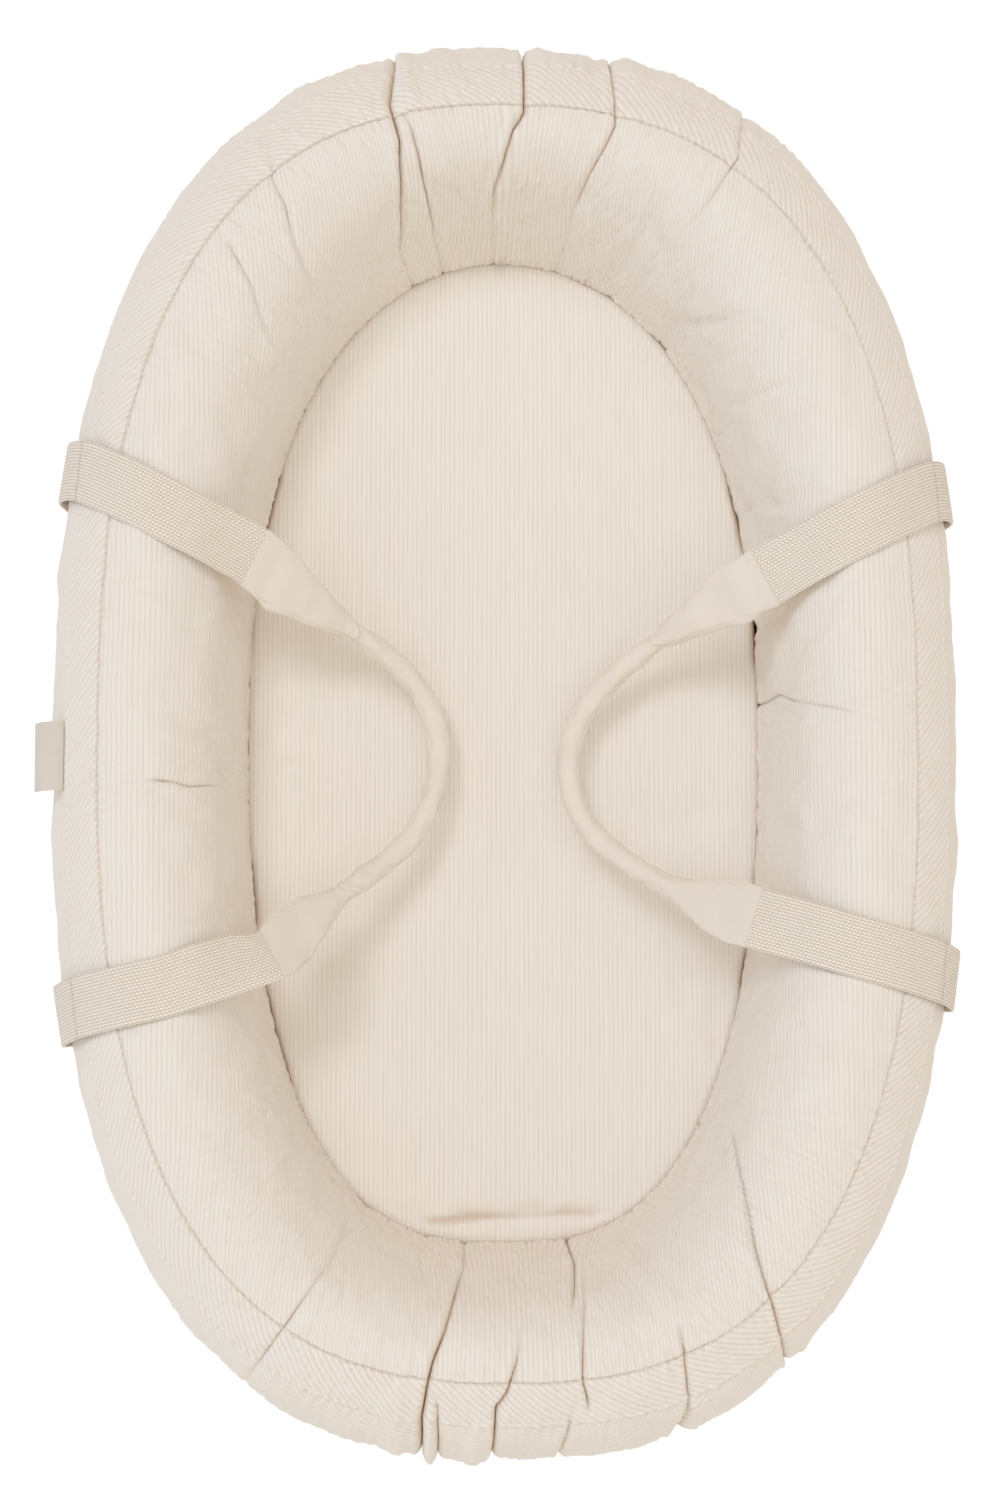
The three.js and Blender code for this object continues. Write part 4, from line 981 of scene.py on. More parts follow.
def lengths_along(points):
    """The length walked along a line to each of its points."""
    return np.append(0.0, np.cumsum(np.linalg.norm(np.diff(points, axis=0), axis=-1)))


def even_numbers(line, first, last, step):
    """Numbers along a handle that are step metres apart, and their lengths."""
    fine = np.linspace(first, last, LINE_STEPS)
    points = curve_at(line[0], fine)
    walked = lengths_along(points)
    count = max(2, int(round(walked[-1] / step)) + 1)
    lengths = np.linspace(0.0, walked[-1], count)
    return np.interp(lengths, walked, fine), lengths


lines = {name: handle_rows(name) for name in ("left", "right")}
for name, line in lines.items():
    length = even_numbers(line, MOUTH_HEAD, MOUTH_FOOT, 0.01)[1][-1]
    print(name, "grip length, m:", round(length, 3))

# %% [markdown]
# The cover is three rings of cloth: the striped wall inside, the narrow bias band
# over the top of the outer wall, and the striped wall outside. Each is drawn as rows
# across the roll and columns round it. Rows are close together at the seams, where
# the cloth turns in sharply, and a last row is tucked in under the seam, so no
# daylight shows. Round it, the point on the roll moves out by its height above the
# roll and sideways by how much the folds draw it in. The elastics gather the two ends
# only, so outside the cloth lies smoother along both sides.

# %% Rows of the cover
SEAM_STEPS = np.array([0.0, 0.35, 0.7, 1.1, 1.6, 2.3, 3.3, 4.8]) * MM
FINE = 241
TUCK_DEPTH, TUCK_REACH = 0.0032, 0.0016
SEEN_DEG, FADE_FROM, FADE_OVER = (7.0, 178.0), -42.0, 52.0
SHADE_FROM, SHADE_OVER = 0.0012, 0.0036
SEAM_SHADE, CREVICE_SHADE, SHADE_REACH = 0.17, 0.55, 0.0016


def walk_across(turns, low, high):
    """Lengths of cloth walked from one edge angle to the other, in even steps."""
    points = section(turns, low + (high - low) * np.linspace(0.0, 1.0, FINE)[:, None])[0]
    across = np.linalg.norm(np.diff(points, axis=0), axis=-1)
    return np.concatenate([np.zeros((1, len(turns))), np.cumsum(across, 0)])


def share_walked(walked, wanted):
    """For each row of wanted lengths, the share of the steps that it takes."""
    rows = []
    for goal in wanted:
        after = np.clip((walked < goal).sum(0), 1, FINE - 1)
        a = np.take_along_axis(walked, after[None] - 1, 0)[0]
        b = np.take_along_axis(walked, after[None], 0)[0]
        rows.append((after - 1 + np.clip((goal - a) / (b - a), 0.0, 1.0)) / (FINE - 1))
    return np.stack(rows)


def rows_between(low, high, count):
    """Angles on the section of rows from one edge angle to the other, and each row's
    lengths of cloth from both edges. Near an edge rows keep fixed distances."""
    walked = walk_across(stations, low, high)
    total = walked[-1]
    inner = np.linspace(0.0, 1.0, count - 2 * len(SEAM_STEPS) + 2)[1:-1]
    first, last = SEAM_STEPS[-1], total - SEAM_STEPS[-1]
    wanted = np.concatenate([SEAM_STEPS[:, None] + 0.0 * total,
                             first + (last - first) * inner[:, None],
                             total - SEAM_STEPS[::-1, None]])
    return low + (high - low) * share_walked(walked, wanted), wanted, total - wanted


def tucked(points, normals, last=True):
    """The grid with a row more at its edges: each goes on past the edge and under."""
    def under(edge, before):
        """The row that goes on from before past the edge, and under it."""
        on = unit(points[edge] - points[before] + 1e-9)
        return (points[edge] + on * TUCK_REACH - normals[edge] * TUCK_DEPTH)[None]

    return np.concatenate([under(0, 1), points] + ([under(-1, -2)] if last else []))


def edged(values, last=True):
    """Values at the grid's points with the edge rows once more, for the tucked ones."""
    return np.concatenate([values[:1], values] + ([values[-1:]] if last else []))


stations_run = np.append(0.0, np.cumsum(steps))
seam_ring = section(stations, SEAM_DEG)[0][:, :2]
CREVICE_CORE, CREVICE_FADE = 0.6, 0.7
CREVICES = (((-143, 182), (-153, 139)), ((-166, -72), (-159, -114)), ((-155, -152), (-136, -213)),
            ((152, 177), (157, 130)), ((160, 86), (165, 54)), ((159, -129), (158, -155)))


def crevices():
    """1 along the parts of the floor's seam where wall and floor press together, and
    0 away from them: with h half a part's length and a the distance from its middle,
    1 - S((a/h - core) / fade), where S is the smooth step."""
    total = np.zeros(len(stations))
    for a, b in CREVICES:
        middle = (np.array(a, float) + b) / 2 * MM
        half = np.linalg.norm(np.subtract(a, b)) / 2 * MM
        away = np.linalg.norm(seam_ring - middle, axis=1)
        beyond = (away / half - CREVICE_CORE) / CREVICE_FADE
        total = np.maximum(total, 1.0 - smoothstep(beyond))
    return total


pressed = crevices()


def seam_shade(press, away):
    """The painted shade near the floor's seam, strongest where wall and floor press together."""
    return (SEAM_SHADE + CREVICE_SHADE * press) * np.exp(-away / SHADE_REACH)


def cover_points(turns, degrees, extra):
    """The cover's points, their normals, and the painted shade of their sharp folds, 0 to 1: the
    roll's skin, pressed and drawn by the folds, with extra height. Below the roll's widest level
    the folds and their painted shade fade out."""
    point, normal = section(turns, degrees)
    seen = section(turns, np.clip(degrees, *SEEN_DEG))[0]
    press, drawn, slit = folds_at(sight_plan(seen))
    fade = smoothstep((degrees - FADE_FROM) / FADE_OVER)
    flat = np.concatenate([drawn, np.zeros(drawn.shape[:-1] + (1,))], -1)
    flat -= normal * np.sum(normal * flat, -1, keepdims=True)
    height = extra - press * fade
    deep = np.clip((slit * fade - SHADE_FROM) / SHADE_OVER, 0.0, 1.0)
    return point + normal * height[..., None] + flat * fade[..., None], normal, deep


def closing(grid, last=None):
    """The grid with one more column: its first again, or the given one."""
    return np.concatenate([grid, grid[:, :1] if last is None else last], 1)


def paint_fold_shade(obj, deep):
    """Stores the painted shade of folds and seams at each point, 0 to 1, for the cloth's colour.
    """
    values = obj.data.attributes.new("fold", "FLOAT", "POINT")
    values.data.foreach_set("value", np.ascontiguousarray(deep, np.float32).ravel())


def cloth_ring(name, grid, normals, deep, uv, finish, last=True):
    """A ring of cloth from the grids of its points, their normals, their painted fold shade and
    its texture coordinates; finish is what finish_piece() takes."""
    quads, corners = grid_faces(len(grid) + 1 + last, grid.shape[1], flip=True)
    ring = new_piece(name, tucked(grid, normals, last), quads, loop_uv(*uv, corners))
    paint_fold_shade(ring, edged(deep, last))
    finish_piece(ring, *finish)
    return ring


# %% [markdown]
# Folds drawn by rule alone look too tidy. Real cloth, blown up by its filling and
# held by its seams, settles into many small wrinkles that nobody drew. Blender's
# cloth solver finds them on a coarser copy of the whole cover. The copy is held at
# its seams, in the folds and under the straps, and is pushed outwards for a second.
# Only how far each point moved is kept, and the finer rings below add it, so the
# folds stay where the photograph has them.

# %% Settled cloth
COARSE_ROWS = {"wall": 32, "band": 6, "outer": 16}
SETTLE_FRAMES = 24
MOST_MOVED, MOST_SUNK = 0.010, 0.0035
SEAM_HOLD, FOLD_HOLD, FOLD_SHARE, HOLD_STEPS = 0.7, 0.9, 0.22, 20
HELD_FROM, HELD_OVER, HELD_PLACES = 0.022, 0.012, 60
TAB_DEG = BAND_LOWER - 2.0
ROUGH = 0.0004
SOLVER = {
    "quality": 5, "mass": 0.12, "tension_stiffness": 30.0, "compression_stiffness": 30.0,
    "shear_stiffness": 8.0, "bending_stiffness": 0.3, "tension_damping": 5.0,
    "compression_damping": 5.0, "shear_damping": 5.0, "bending_damping": 0.5,
    "use_pressure": True, "uniform_pressure_force": 4.0, "vertex_group_mass": "held"}
upper_edge = band_edge(stations, BAND_UPPER)
lower_edge = band_edge(stations, BAND_LOWER)
EDGES = {"wall": (SEAM_DEG + 0.0 * stations, upper_edge), "band": (upper_edge, lower_edge),
         "outer": (lower_edge, BASE_DEG + 0.0 * stations)}


def settle(points, quads, hold):
    """The points after the cloth solver has pushed them outwards as an airtight bag,
    where hold is how firmly each point is kept in its place, from 0 to 1."""
    cover = new_piece("settling", points, quads)
    group = cover.vertex_groups.new(name="held")
    for strength in np.unique(hold[hold > 0.0]):
        group.add(np.flatnonzero(hold == strength).tolist(), float(strength), "REPLACE")
    cloth = cover.modifiers.new("cloth", "CLOTH")
    cloth.collision_settings.use_collision = False
    cloth.point_cache.frame_end = SETTLE_FRAMES
    for key, value in SOLVER.items():
        setattr(cloth.settings, key, value)
    cloth.settings.effector_weights.gravity = 0.0
    for number in range(1, SETTLE_FRAMES + 1):
        scene.frame_set(number)
    settled = cover.evaluated_get(bpy.context.evaluated_depsgraph_get()).data
    after = np.empty(points.size, np.float32)
    settled.vertices.foreach_get("co", after)
    scene.frame_set(1)
    bpy.data.objects.remove(cover)
    return after.reshape(points.shape).astype(float)


def strap_hold(points):
    """1 under the straps and the tab, and 0 well away from them."""
    middles = [off_wall(np.pi, TAB_DEG, 0.0)[None]]
    for places, _ in lines.values():
        for first, last in ((0.0, MOUTH_HEAD), (MOUTH_FOOT, len(places) - 1.0)):
            middles.append(curve_at(places, np.linspace(first, last, HELD_PLACES)))
    away = np.full(points.shape[:-1], np.inf)
    for middle in np.concatenate(middles):
        away = np.minimum(away, np.linalg.norm(points - middle, axis=-1))
    return 1.0 - smoothstep((away - HELD_FROM) / HELD_OVER)


def settled_moves():
    """How far the cover moves as it settles, on coarse rows and all columns. Half of
    the columns are settled; the movement between two is (9 (b + c) - a - d) / 16 of
    the four nearest, the cubic through them."""
    turns = stations[::2]
    blocks = []
    for part, count in COARSE_ROWS.items():
        low, high = (edge[::2] for edge in EDGES[part])
        walked = walk_across(turns, low, high)
        share = share_walked(walked, walked[-1] * np.linspace(0.0, 1.0, count)[:, None])
        blocks.append((low + (high - low) * share)[0 if part == "wall" else 1:])
    degrees = np.concatenate(blocks)
    points, normals, deep = cover_points(turns, degrees, 0.0 * degrees)
    rough = ROUGH * np.random.default_rng(3).normal(size=degrees.shape)
    start = points + normals * rough[..., None]
    seams = np.cumsum([0, *(count - 1 for count in COARSE_ROWS.values())])
    hold = np.maximum(strap_hold(points), np.where(deep > FOLD_SHARE, FOLD_HOLD, 0.0))
    hold[seams[1:3]] = np.maximum(hold[seams[1:3]], SEAM_HOLD)
    hold[seams[[0, -1]]] = 1.0
    quads, _ = grid_faces(*degrees.shape, flip=True)
    hold = np.round(hold.ravel() * HOLD_STEPS) / HOLD_STEPS
    moved = settle(start.reshape(-1, 3), quads, hold)
    moved = moved.reshape(points.shape) - points
    far = np.linalg.norm(moved, axis=-1, keepdims=True)
    print("settled; moved by, mm:", round(far.mean() / MM, 2), "most:", round(far.max() / MM, 2))
    moved *= MOST_MOVED * np.tanh(far / MOST_MOVED) / np.maximum(far, 1e-9)
    rise = np.sum(moved * normals, -1, keepdims=True)
    moved += normals * (np.maximum(rise, -MOST_SUNK) - rise)
    beside, around = np.roll(moved, -1, 1), np.roll(moved, 1, 1) + np.roll(moved, -2, 1)
    between = (9.0 * (moved + beside) - around) / 16.0
    moved = np.stack([moved, between], 2).reshape(len(moved), -1, 3)
    return {part: moved[a:b + 1] for part, a, b in zip(COARSE_ROWS, seams[:-1], seams[1:])}


moves = settled_moves()


def settled(part, near, far):
    """The movement at the fine rows of a part, from their lengths to its edges."""
    if part not in moves:
        return 0.0
    rows = moves[part]
    last = len(rows) - 1
    place = near / (near + far) * last
    i = np.clip(np.floor(place).astype(int), 0, last - 1)
    columns = np.arange(rows.shape[1])
    knots = (rows[np.clip(i + k, 0, last), columns] for k in (-1, 0, 1, 2))
    return smooth_between(*knots, (place - i)[..., None])


# %% [markdown]
# The inner wall is the widest ring, from the floor's seam up over the crown to the
# band. Its texture coordinates are the places its cloth would have if it were laid
# flat, outwards from the floor's seam, so its stripes run along the nest like the
# floor's. A ripple or a groove is given by its height and its reach, in metres.

# %% Inner wall
WALL_ROWS = 60
WALL_STRETCH = 1.12
PUCKER_START, EVEN_EDGE, WALL_UNEVEN = 0.002, 0.012, 0.0005
SEAM_RIPPLE, BAND_RIPPLE = (0.0005, 0.008), (0.0004, 0.006)
SEAM_GROOVE, TOP_GROOVE, TOP_SHADE = (0.0002, 0.0007), (0.0012, 0.0006), (0.35, 0.0006)
PRESSED_BULGE, PRESSED_GROOVE = (0.0014, 0.006, 0.005), (0.0005, 0.0016)
OTHER_RUNS = (1.13, 0.7), (0.9, 2.1)
run = stations_run[:-1]
upper_run, lower_run = (run * scale + shift for scale, shift in OTHER_RUNS)
degrees, from_seam, to_band = rows_between(SEAM_DEG, upper_edge, WALL_ROWS)
wall_u = seam_ring[:, 0] + np.cos(stations) * from_seam
wall_v = seam_ring[:, 1] + np.sin(stations) * from_seam
# Heights over the roll: unevenness, a ripple at both seams, a groove along each, and a
# bulge beside a deeper groove where wall and floor press together.
edge_fade = smoothstep(np.minimum(from_seam, to_band) / EVEN_EDGE)
extra = WALL_UNEVEN * uneven(wall_u, wall_v) * edge_fade
extra += puckered(run, from_seam, *SEAM_RIPPLE, PUCKER_START)
extra += puckered(upper_run, to_band, *BAND_RIPPLE, PUCKER_START)
extra -= groove(from_seam, *SEAM_GROOVE) + groove(to_band, *TOP_GROOVE)
extra += pressed * bulge(from_seam, *PRESSED_BULGE)
extra -= pressed * groove(from_seam, *PRESSED_GROOVE)
wall, wall_normal, deep = cover_points(stations, degrees, extra)
wall += settled("wall", from_seam, to_band)
# Painted shade: the cloth is browned along the floor's seam and just below the band's edge.
deep = np.maximum(deep, seam_shade(pressed, from_seam))
deep = np.maximum(deep, groove(to_band, *TOP_SHADE))
inner_wall = cloth_ring("inner_wall_cloth", wall, wall_normal, deep,
                        (closing(edged(wall_u)) / WALL_STRETCH, closing(edged(wall_v))),
                        (cover_cotton, "nest", "striped_cotton", "inner_wall_panel"))

# %% [markdown]
# The band is a narrow strip cut across its stripes at 45 degrees, so it stretches
# round the curve without creasing. Turning its texture coordinates by as much gives
# the slant. Only at the ends does its lower seam ripple fully, where it's gathered.

# %% Bias band
BAND_ROWS, BAND_HEM, BAND_EASE = 26, 0.002, 1.03
BAND_LIFT, BAND_UNEVEN, LOWER_RIDGE = 0.0006, 0.0004, (0.0008, 0.0011, 0.0008)
UPPER_GROOVE, LOWER_GROOVE, JOIN_GROOVE = (0.0018, 0.0005), (0.0016, 0.0004), (0.0012, 0.0012)
CALM, CALM_FROM, CALM_OVER, CALM_REACH = 0.25, 0.40, 0.40, 0.016
gathered = CALM + (1.0 - CALM) * smoothstep((np.abs(np.sin(stations)) - CALM_FROM) / CALM_OVER)
degrees, from_upper, to_lower = rows_between(upper_edge, lower_edge, BAND_ROWS)
join_gap = np.minimum(run, stations_run[-1] - run)
# The band lies a little over the walls, with a groove at its upper edge, a small ridge
# and a groove at its lower one, and one where its two ends are joined.
extra = BAND_LIFT - groove(from_upper, *UPPER_GROOVE)
extra += bulge(to_lower, *LOWER_RIDGE)
extra -= groove(to_lower, *LOWER_GROOVE)
extra += BAND_UNEVEN * uneven(run * 1.3, from_upper + 0.4)
extra += puckered(upper_run, from_upper, *BAND_RIPPLE)
extra += gathered * puckered(lower_run, to_lower, *BAND_RIPPLE)
extra -= groove(join_gap, *JOIN_GROOVE)
band, band_normal, deep = cover_points(stations, degrees, extra)
calm = 1.0 + (gathered - 1.0) * smoothstep(from_upper / CALM_REACH)
band += settled("band", from_upper, to_lower) * calm[..., None]
u, v = np.broadcast_to(stations_run, (BAND_ROWS + 2, COLUMNS + 1)), closing(edged(from_upper))
bias_band = cloth_ring("bias_band_cloth", band, band_normal, deep,
                       ((u - v) / np.sqrt(2.0), (u + v) / np.sqrt(2.0)),
                       (bias_cotton, "nest", "bias_cotton", "bias_band"))

# %% [markdown]
# The outer wall hangs from the band down to the base. Its stripes run level along
# both sides and slant one way or the other round the ends, so a table gives their
# slant in degrees at some stations, and the texture coordinates are turned by it.

# %% Outer wall
OUTER_ROWS = 38
OUTER_UNEVEN, OUTER_RIPPLE = 0.0006, (0.0005, 0.009)
OUTER_GROOVE, BASE_GROOVE = (0.0018, 0.0007), (0.0006, 0.001)
SLANTS = ((0.0, 0.0), (0.9, 50.0), (1.45, 50.0), (1.62, -40.0), (2.2, -40.0), (2.7, 0.0),
          (3.14, 0.0), (3.9, -45.0), (4.5, -50.0), (4.9, 50.0), (5.5, 45.0), (6.2832, 0.0))
degrees, from_band, to_base = rows_between(lower_edge, BASE_DEG, OUTER_ROWS)
slant = np.radians(np.interp(np.mod(stations, 2 * np.pi), *zip(*SLANTS)))
along = np.append(0.0, np.cumsum(np.sin(slant) * steps))
extra = OUTER_UNEVEN * uneven(run * 1.1 + 3.0, from_band) * smoothstep(from_band / EVEN_EDGE)
extra += gathered * puckered(lower_run, from_band, *OUTER_RIPPLE, PUCKER_START)
extra -= groove(from_band, *OUTER_GROOVE) + groove(to_base, *BASE_GROOVE)
outer, outer_normal, deep = cover_points(stations, degrees, extra)
outer += settled("outer", from_band, to_base) * gathered[:, None]
v = closing(edged(from_band, last=False))
u = v * np.cos(np.append(slant, slant[0])) + along
outer_wall = cloth_ring("outer_wall_cloth", outer, outer_normal, deep, (u, v),
                        (cover_cotton, "nest", "striped_cotton", "outer_wall_panel"), last=False)

# %% [markdown]
# Under the cover the roll is stuffed with loose fibre. It follows the same skin a
# few millimetres further in, and dips where the cover does, with a shallow groove
# under the band for the two elastics that gather the ends.

# %% Filling and elastics
FILL_DEGREES = np.concatenate([np.linspace(SEAM_DEG - 4, 84, 22), np.linspace(76, 30, 8),
                               np.linspace(24, BASE_DEG + 4, 12)])
FILL_DEPTH, FILL_DEPTH_ENDS, FILL_LOW, HEEL = 0.006, 0.017, 0.0045, 1.04
FILL_END, FILL_END_OVER, FILL_Z, FILL_Z_OVER = 0.20, 0.12, 0.05, 0.05
ELASTIC_DEPTH, ELASTIC_THICK, ELASTIC_HALF, ELASTIC_SPREAD = 0.0045, 0.001, 0.165, 12.0
ELASTIC_ROWS, STRIP_SIDES = 7, 20
turns = stations[::4]
skin, skin_normal = section(turns, FILL_DEGREES[:, None] + 0.0 * turns)
ends = smoothstep((np.abs(skin[..., 1:2]) - FILL_END) / FILL_END_OVER)
ends = ends * smoothstep((skin[..., 2:] - FILL_Z) / FILL_Z_OVER)
fill = skin - skin_normal * (FILL_DEPTH + (FILL_DEPTH_ENDS - FILL_DEPTH) * ends)
heel = fill[-1].copy()
heel[:, 2] = FILL_LOW
inner_heel = np.concatenate([floor_line(turns) * HEEL, np.full((len(turns), 1), FILL_LOW)], -1)
fill = np.concatenate([fill, heel[None], inner_heel[None]])
quads, _ = grid_faces(len(fill) + 1, len(turns), flip=True)
quads %= len(fill) * len(turns)
roll_filling = new_piece("roll_filling", fill, quads, fill.reshape(-1, 3)[quads][..., :2])
finish_piece(roll_filling, wadding, "nest", "wadding", "bolster_roll")


def strip_piece(name, centres, across, normals, width, thick, rounding=0.3, start=0.0):
    """A flat strip with softly rounded edges along a line of frames, closed at both
    ends. Its texture coordinates are the lengths across and along, from start."""
    turn = round_turn(STRIP_SIDES) + np.pi / STRIP_SIDES
    x = signed_power(np.cos(turn), rounding) * width / 2
    y = signed_power(np.sin(turn), rounding) * thick / 2
    grid = centres[:, None] + across[:, None] * x[:, None] + normals[:, None] * y[:, None]
    uv = np.meshgrid(np.append(x, x[0]), start + lengths_along(centres))
    return closed_tube(name, grid, centres[[0, -1]], uv=uv)


for end, name in ((1.0, "head"), (-1.0, "foot")):
    outline = outer_line(stations)
    keep = (end * outline[:, 1] > 0) & (np.abs(outline[:, 0]) < ELASTIC_HALF)
    picked = np.sort(np.mod(stations[keep], 2 * np.pi))
    share = np.linspace(0.0, 1.0, ELASTIC_ROWS)[:, None]
    degrees = band_edge(picked, BAND_UPPER) * (1.0 - share) + band_edge(picked, BAND_LOWER) * share
    degrees += ELASTIC_SPREAD * (share - 0.5)
    high, normal, _ = cover_points(picked, degrees, 0.0 * degrees - ELASTIC_DEPTH)
    grid = np.concatenate([high, (high - normal * ELASTIC_THICK)[::-1]])
    rows, columns = grid.shape[:2]
    quads, corners = grid_faces(rows + 1, columns, closed=False, flip=True)
    v = np.linalg.norm(grid - grid[0], axis=-1)
    walked = np.cumsum(np.linalg.norm(np.gradient(high[ELASTIC_ROWS // 2], axis=0), axis=1))
    u = np.broadcast_to(walked, grid.shape[:2])
    cap = np.arange(rows) * columns
    caps = np.stack([cap, (cap + columns - 1)[::-1]])
    gather = new_piece(name + "_elastic", grid, [quads % (rows * columns), caps],
                       [loop_uv(v, u, (corners[0] % rows, corners[1])),
                        np.zeros((*caps.shape, 2))], flat_caps=True)
    finish_piece(gather, elastic, "nest", "elastic", name + "_gather_elastic")

# %% [markdown]
# The floor is one panel of the same striped cloth, sewn to the wall all round. Under
# it lies a thin mattress, so it rises a little from the seam and then stays nearly
# level. Use has pressed it almost flat, with a few shallow valleys, the longest along
# the foot. Drawing it as rings that shrink from the seam to the middle keeps its edge
# on the wall's, point by point.

# %% Floor panel
FLOOR_RISE = 0.0052
FLOOR_SHARES = (0.0, 0.045, 0.13, 0.38, 0.7, 1.0), (0.0, 0.34, 0.72, 0.93, 0.99, 1.0)
FLOOR_RINGS = 74
EDGE_RINGS, EDGE_SHARE, LAST_SHARE = 15, 0.05, 0.97
VALLEY_FROM, FLOOR_SHADE_FROM, FLOOR_SHADE_OVER = 0.010, 0.0018, 0.0065
PANEL_LIFT, LIFT_OVER, PANEL_GROOVE = 0.0008, 0.004, (0.0001, 0.0008)
PANEL_UNEVEN, PANEL_EVEN_EDGE, PANEL_RIPPLE = 0.0005, 0.02, (0.0004, 0.007)
PANEL_PRESSED, UNDER_SHARE, UNDER_DROP = (0.0008, 0.0024), 1.5, 0.003
FLOOR_VALLEYS = (
    (3.4, ((-66, -302, 0), (-48, -302, 4.2), (-19, -298, 5.2), (20, -295, 5), (51, -296, 3.6),
           (76, -299, 0))),
    (4, ((-82, -292, 0), (-66, -295, 1.4), (-38, -293, 1), (-17, -292, 0))),
    (6, ((34, 236, 0), (59, 235, 1.2), (88, 237, 0))),
    (5, ((34, 258, 0), (85, 248, 0.9), (123, 253, 0))),
    (4, ((75, 226, 0), (91, 222, 0.9), (104, 219, 0))),
    (5, ((131, -155, 0), (130, -176, 1.5), (132, -201, 2.6), (135, -219, 0))),
    (5, ((-112, 254, 0), (-55, 258, 1), (8, 261, 0))),
    (7, ((93, -53, 0), (121, -46, 1.8), (154, -42, 0))),
    (5, ((89, 4, 0), (91, -15, 1.3), (94, -34, 0))),
    (6, ((-164, -3, 0), (-154, 10, 1.8), (-139, 24, 1.6), (-126, 35, 0))),
    (3.5, ((-156, -19, 0), (-145, -19, 1.5), (-135, -18, 1.9), (-121, -17, 0))),
    (4, ((-135, -25, 0), (-138, -39, 1.4), (-141, -59, 0))),
    (6, ((-160, 64, 0), (-145, 55, 1.3), (-129, 44, 0))),
    (5, ((-153, -102, 0), (-144, -121, 1.6), (-139, -144, 0))),
    (7, ((-129, -77, 0), (-131, -105, -1.4), (-123, -133, 0))),
    (6, ((122, 88, 0), (136, 63, 1.2), (148, 45, 0))),
)

edge_ring, edge_press = seam_ring[::2], pressed[::2]
share = 1.0 - np.append(np.linspace(0.0, EDGE_SHARE, EDGE_RINGS + 1)[:-1],
                        np.linspace(EDGE_SHARE, LAST_SHARE, FLOOR_RINGS - EDGE_RINGS))
plan = edge_ring * share[:, None, None]
plan[..., 1] += FLOOR_SHIFT * (1.0 - share[:, None])
inward = np.linalg.norm(plan - edge_ring, axis=-1)
rise = np.interp(1.0 - share, *FLOOR_SHARES)
level = SEAM_Z + FLOOR_RISE * rise[:, None] * np.ones(len(edge_ring))
level += PANEL_LIFT * smoothstep(inward / LIFT_OVER) - groove(inward, *PANEL_GROOVE)
flat = np.concatenate([plan, level[..., None]], -1)
press = folds_at(sight_plan(flat), (), FLOOR_VALLEYS)[0] * smoothstep(inward / VALLEY_FROM)
level -= press
lumps = uneven(plan[..., 0] + 0.3, plan[..., 1])
level += PANEL_UNEVEN * lumps * smoothstep(inward / PANEL_EVEN_EDGE)
level += puckered(run[::2] * 1.2, inward, *PANEL_RIPPLE, PUCKER_START)
level -= edge_press * groove(inward, *PANEL_PRESSED)
floor = np.concatenate([plan, level[..., None]], -1)
outwards = (floor[0] - floor[2])[:, :2] * UNDER_SHARE
under = floor[0] + np.insert(outwards, 2, -UNDER_DROP, 1)
floor = np.concatenate([under[None], floor])
# Painted shade: the floor is browned in its valleys and along its seam.
deep = np.clip((press - FLOOR_SHADE_FROM) / FLOOR_SHADE_OVER, 0.0, 1.0)
deep = np.maximum(deep, seam_shade(edge_press, inward))
deep = np.append(np.concatenate([deep[:1], deep]).ravel(), 0.0)
rows, columns = floor.shape[:2]
quads, corners = grid_faces(rows, columns)
cap = close_fan((rows - 1) * columns + np.arange(columns), rows * columns)
centre = np.array([[0.0, FLOOR_SHIFT, floor[-1, :, 2].mean()]])
points = np.concatenate([floor.reshape(-1, 3), centre])
uv = loop_uv(closing(floor[..., 0]), closing(floor[..., 1]), corners)
floor_cloth = new_piece("floor_cloth", points, [quads, cap], [uv, points[cap][..., :2]])
paint_fold_shade(floor_cloth, deep)
finish_piece(floor_cloth, cover_cotton, "nest", "striped_cotton", "floor_panel")

# %% [markdown]
# The mattress is a flat pad of wadding in a thin cotton cover. Both are rings of
# points between two levels with rounded edges, closed by a point in the middle of
# their upper and lower sides.

# %% Mattress
PAD_PROFILE = ((0.76, 0.0), (0.925, 0.0), (0.948, 0.06), (0.955, 0.22), (0.955, 0.70),
               (0.948, 0.90), (0.925, 0.97), (0.87, 1.04), (0.62, 1.10), (0.3, 1.12))
PAD_LOW, PAD_HIGH, PAD_SHRINK, PAD_FILL = 0.0023, 0.0343, 2.4, 0.9


def pad(name, inset, rim, material, slot, node):
    """A closed pad: the profile's shares of the floor's outline and of its height,
    all inset by that depth, with a point at the middle of both sides."""
    ring = seam_ring[::5]
    centre = np.array([0.0, FLOOR_SHIFT])
    towards = unit(ring - centre)
    rows = []
    for share, height in ((rim, 0.0), *PAD_PROFILE[1:]):
        z = PAD_LOW + inset + (PAD_HIGH - PAD_LOW - PAD_SHRINK * inset) * height
        flat = centre + (ring - centre) * share - towards * inset
        rows.append(np.insert(flat, 2, z, 1))
    grid = np.stack(rows)
    middles = [np.append(centre, level) for level in grid[[0, -1], 0, 2]]
    piece = closed_tube(name, grid, middles, uv="plan", flat_caps=False)
    finish_piece(piece, material, "nest", slot, node)


pad("mattress_cover", 0.0, 0.76, canvas, "plain_cotton", "mattress_casing")
pad("mattress_wadding", 0.0014, 0.62, wadding, "wadding", "mattress_core")

# %% [markdown]
# A leg bends at two places when its handle is lifted: at its sewn end, and where it folds over the
# crown. So it's two pieces: the lower one runs from the sewn end, the upper one over the crown.
# Both end at the same row, so they read as one strap.

# %% Legs of the handles
FOLD_LENGTH, BLEND_Z = 0.032, 0.153
SEWN_BEND, SEWN_PLACES = (0.0463, 0.0683), 15
STRAP_STEP, JOIN_ROW, SLEEVE_LAP = 0.003, 2.0, 0.5


def strap_frames(line, first, last):
    """Frames of the strap between two numbers."""
    numbers, _ = even_numbers(line, first, last, STRAP_STEP)
    return frames_at(line, numbers)


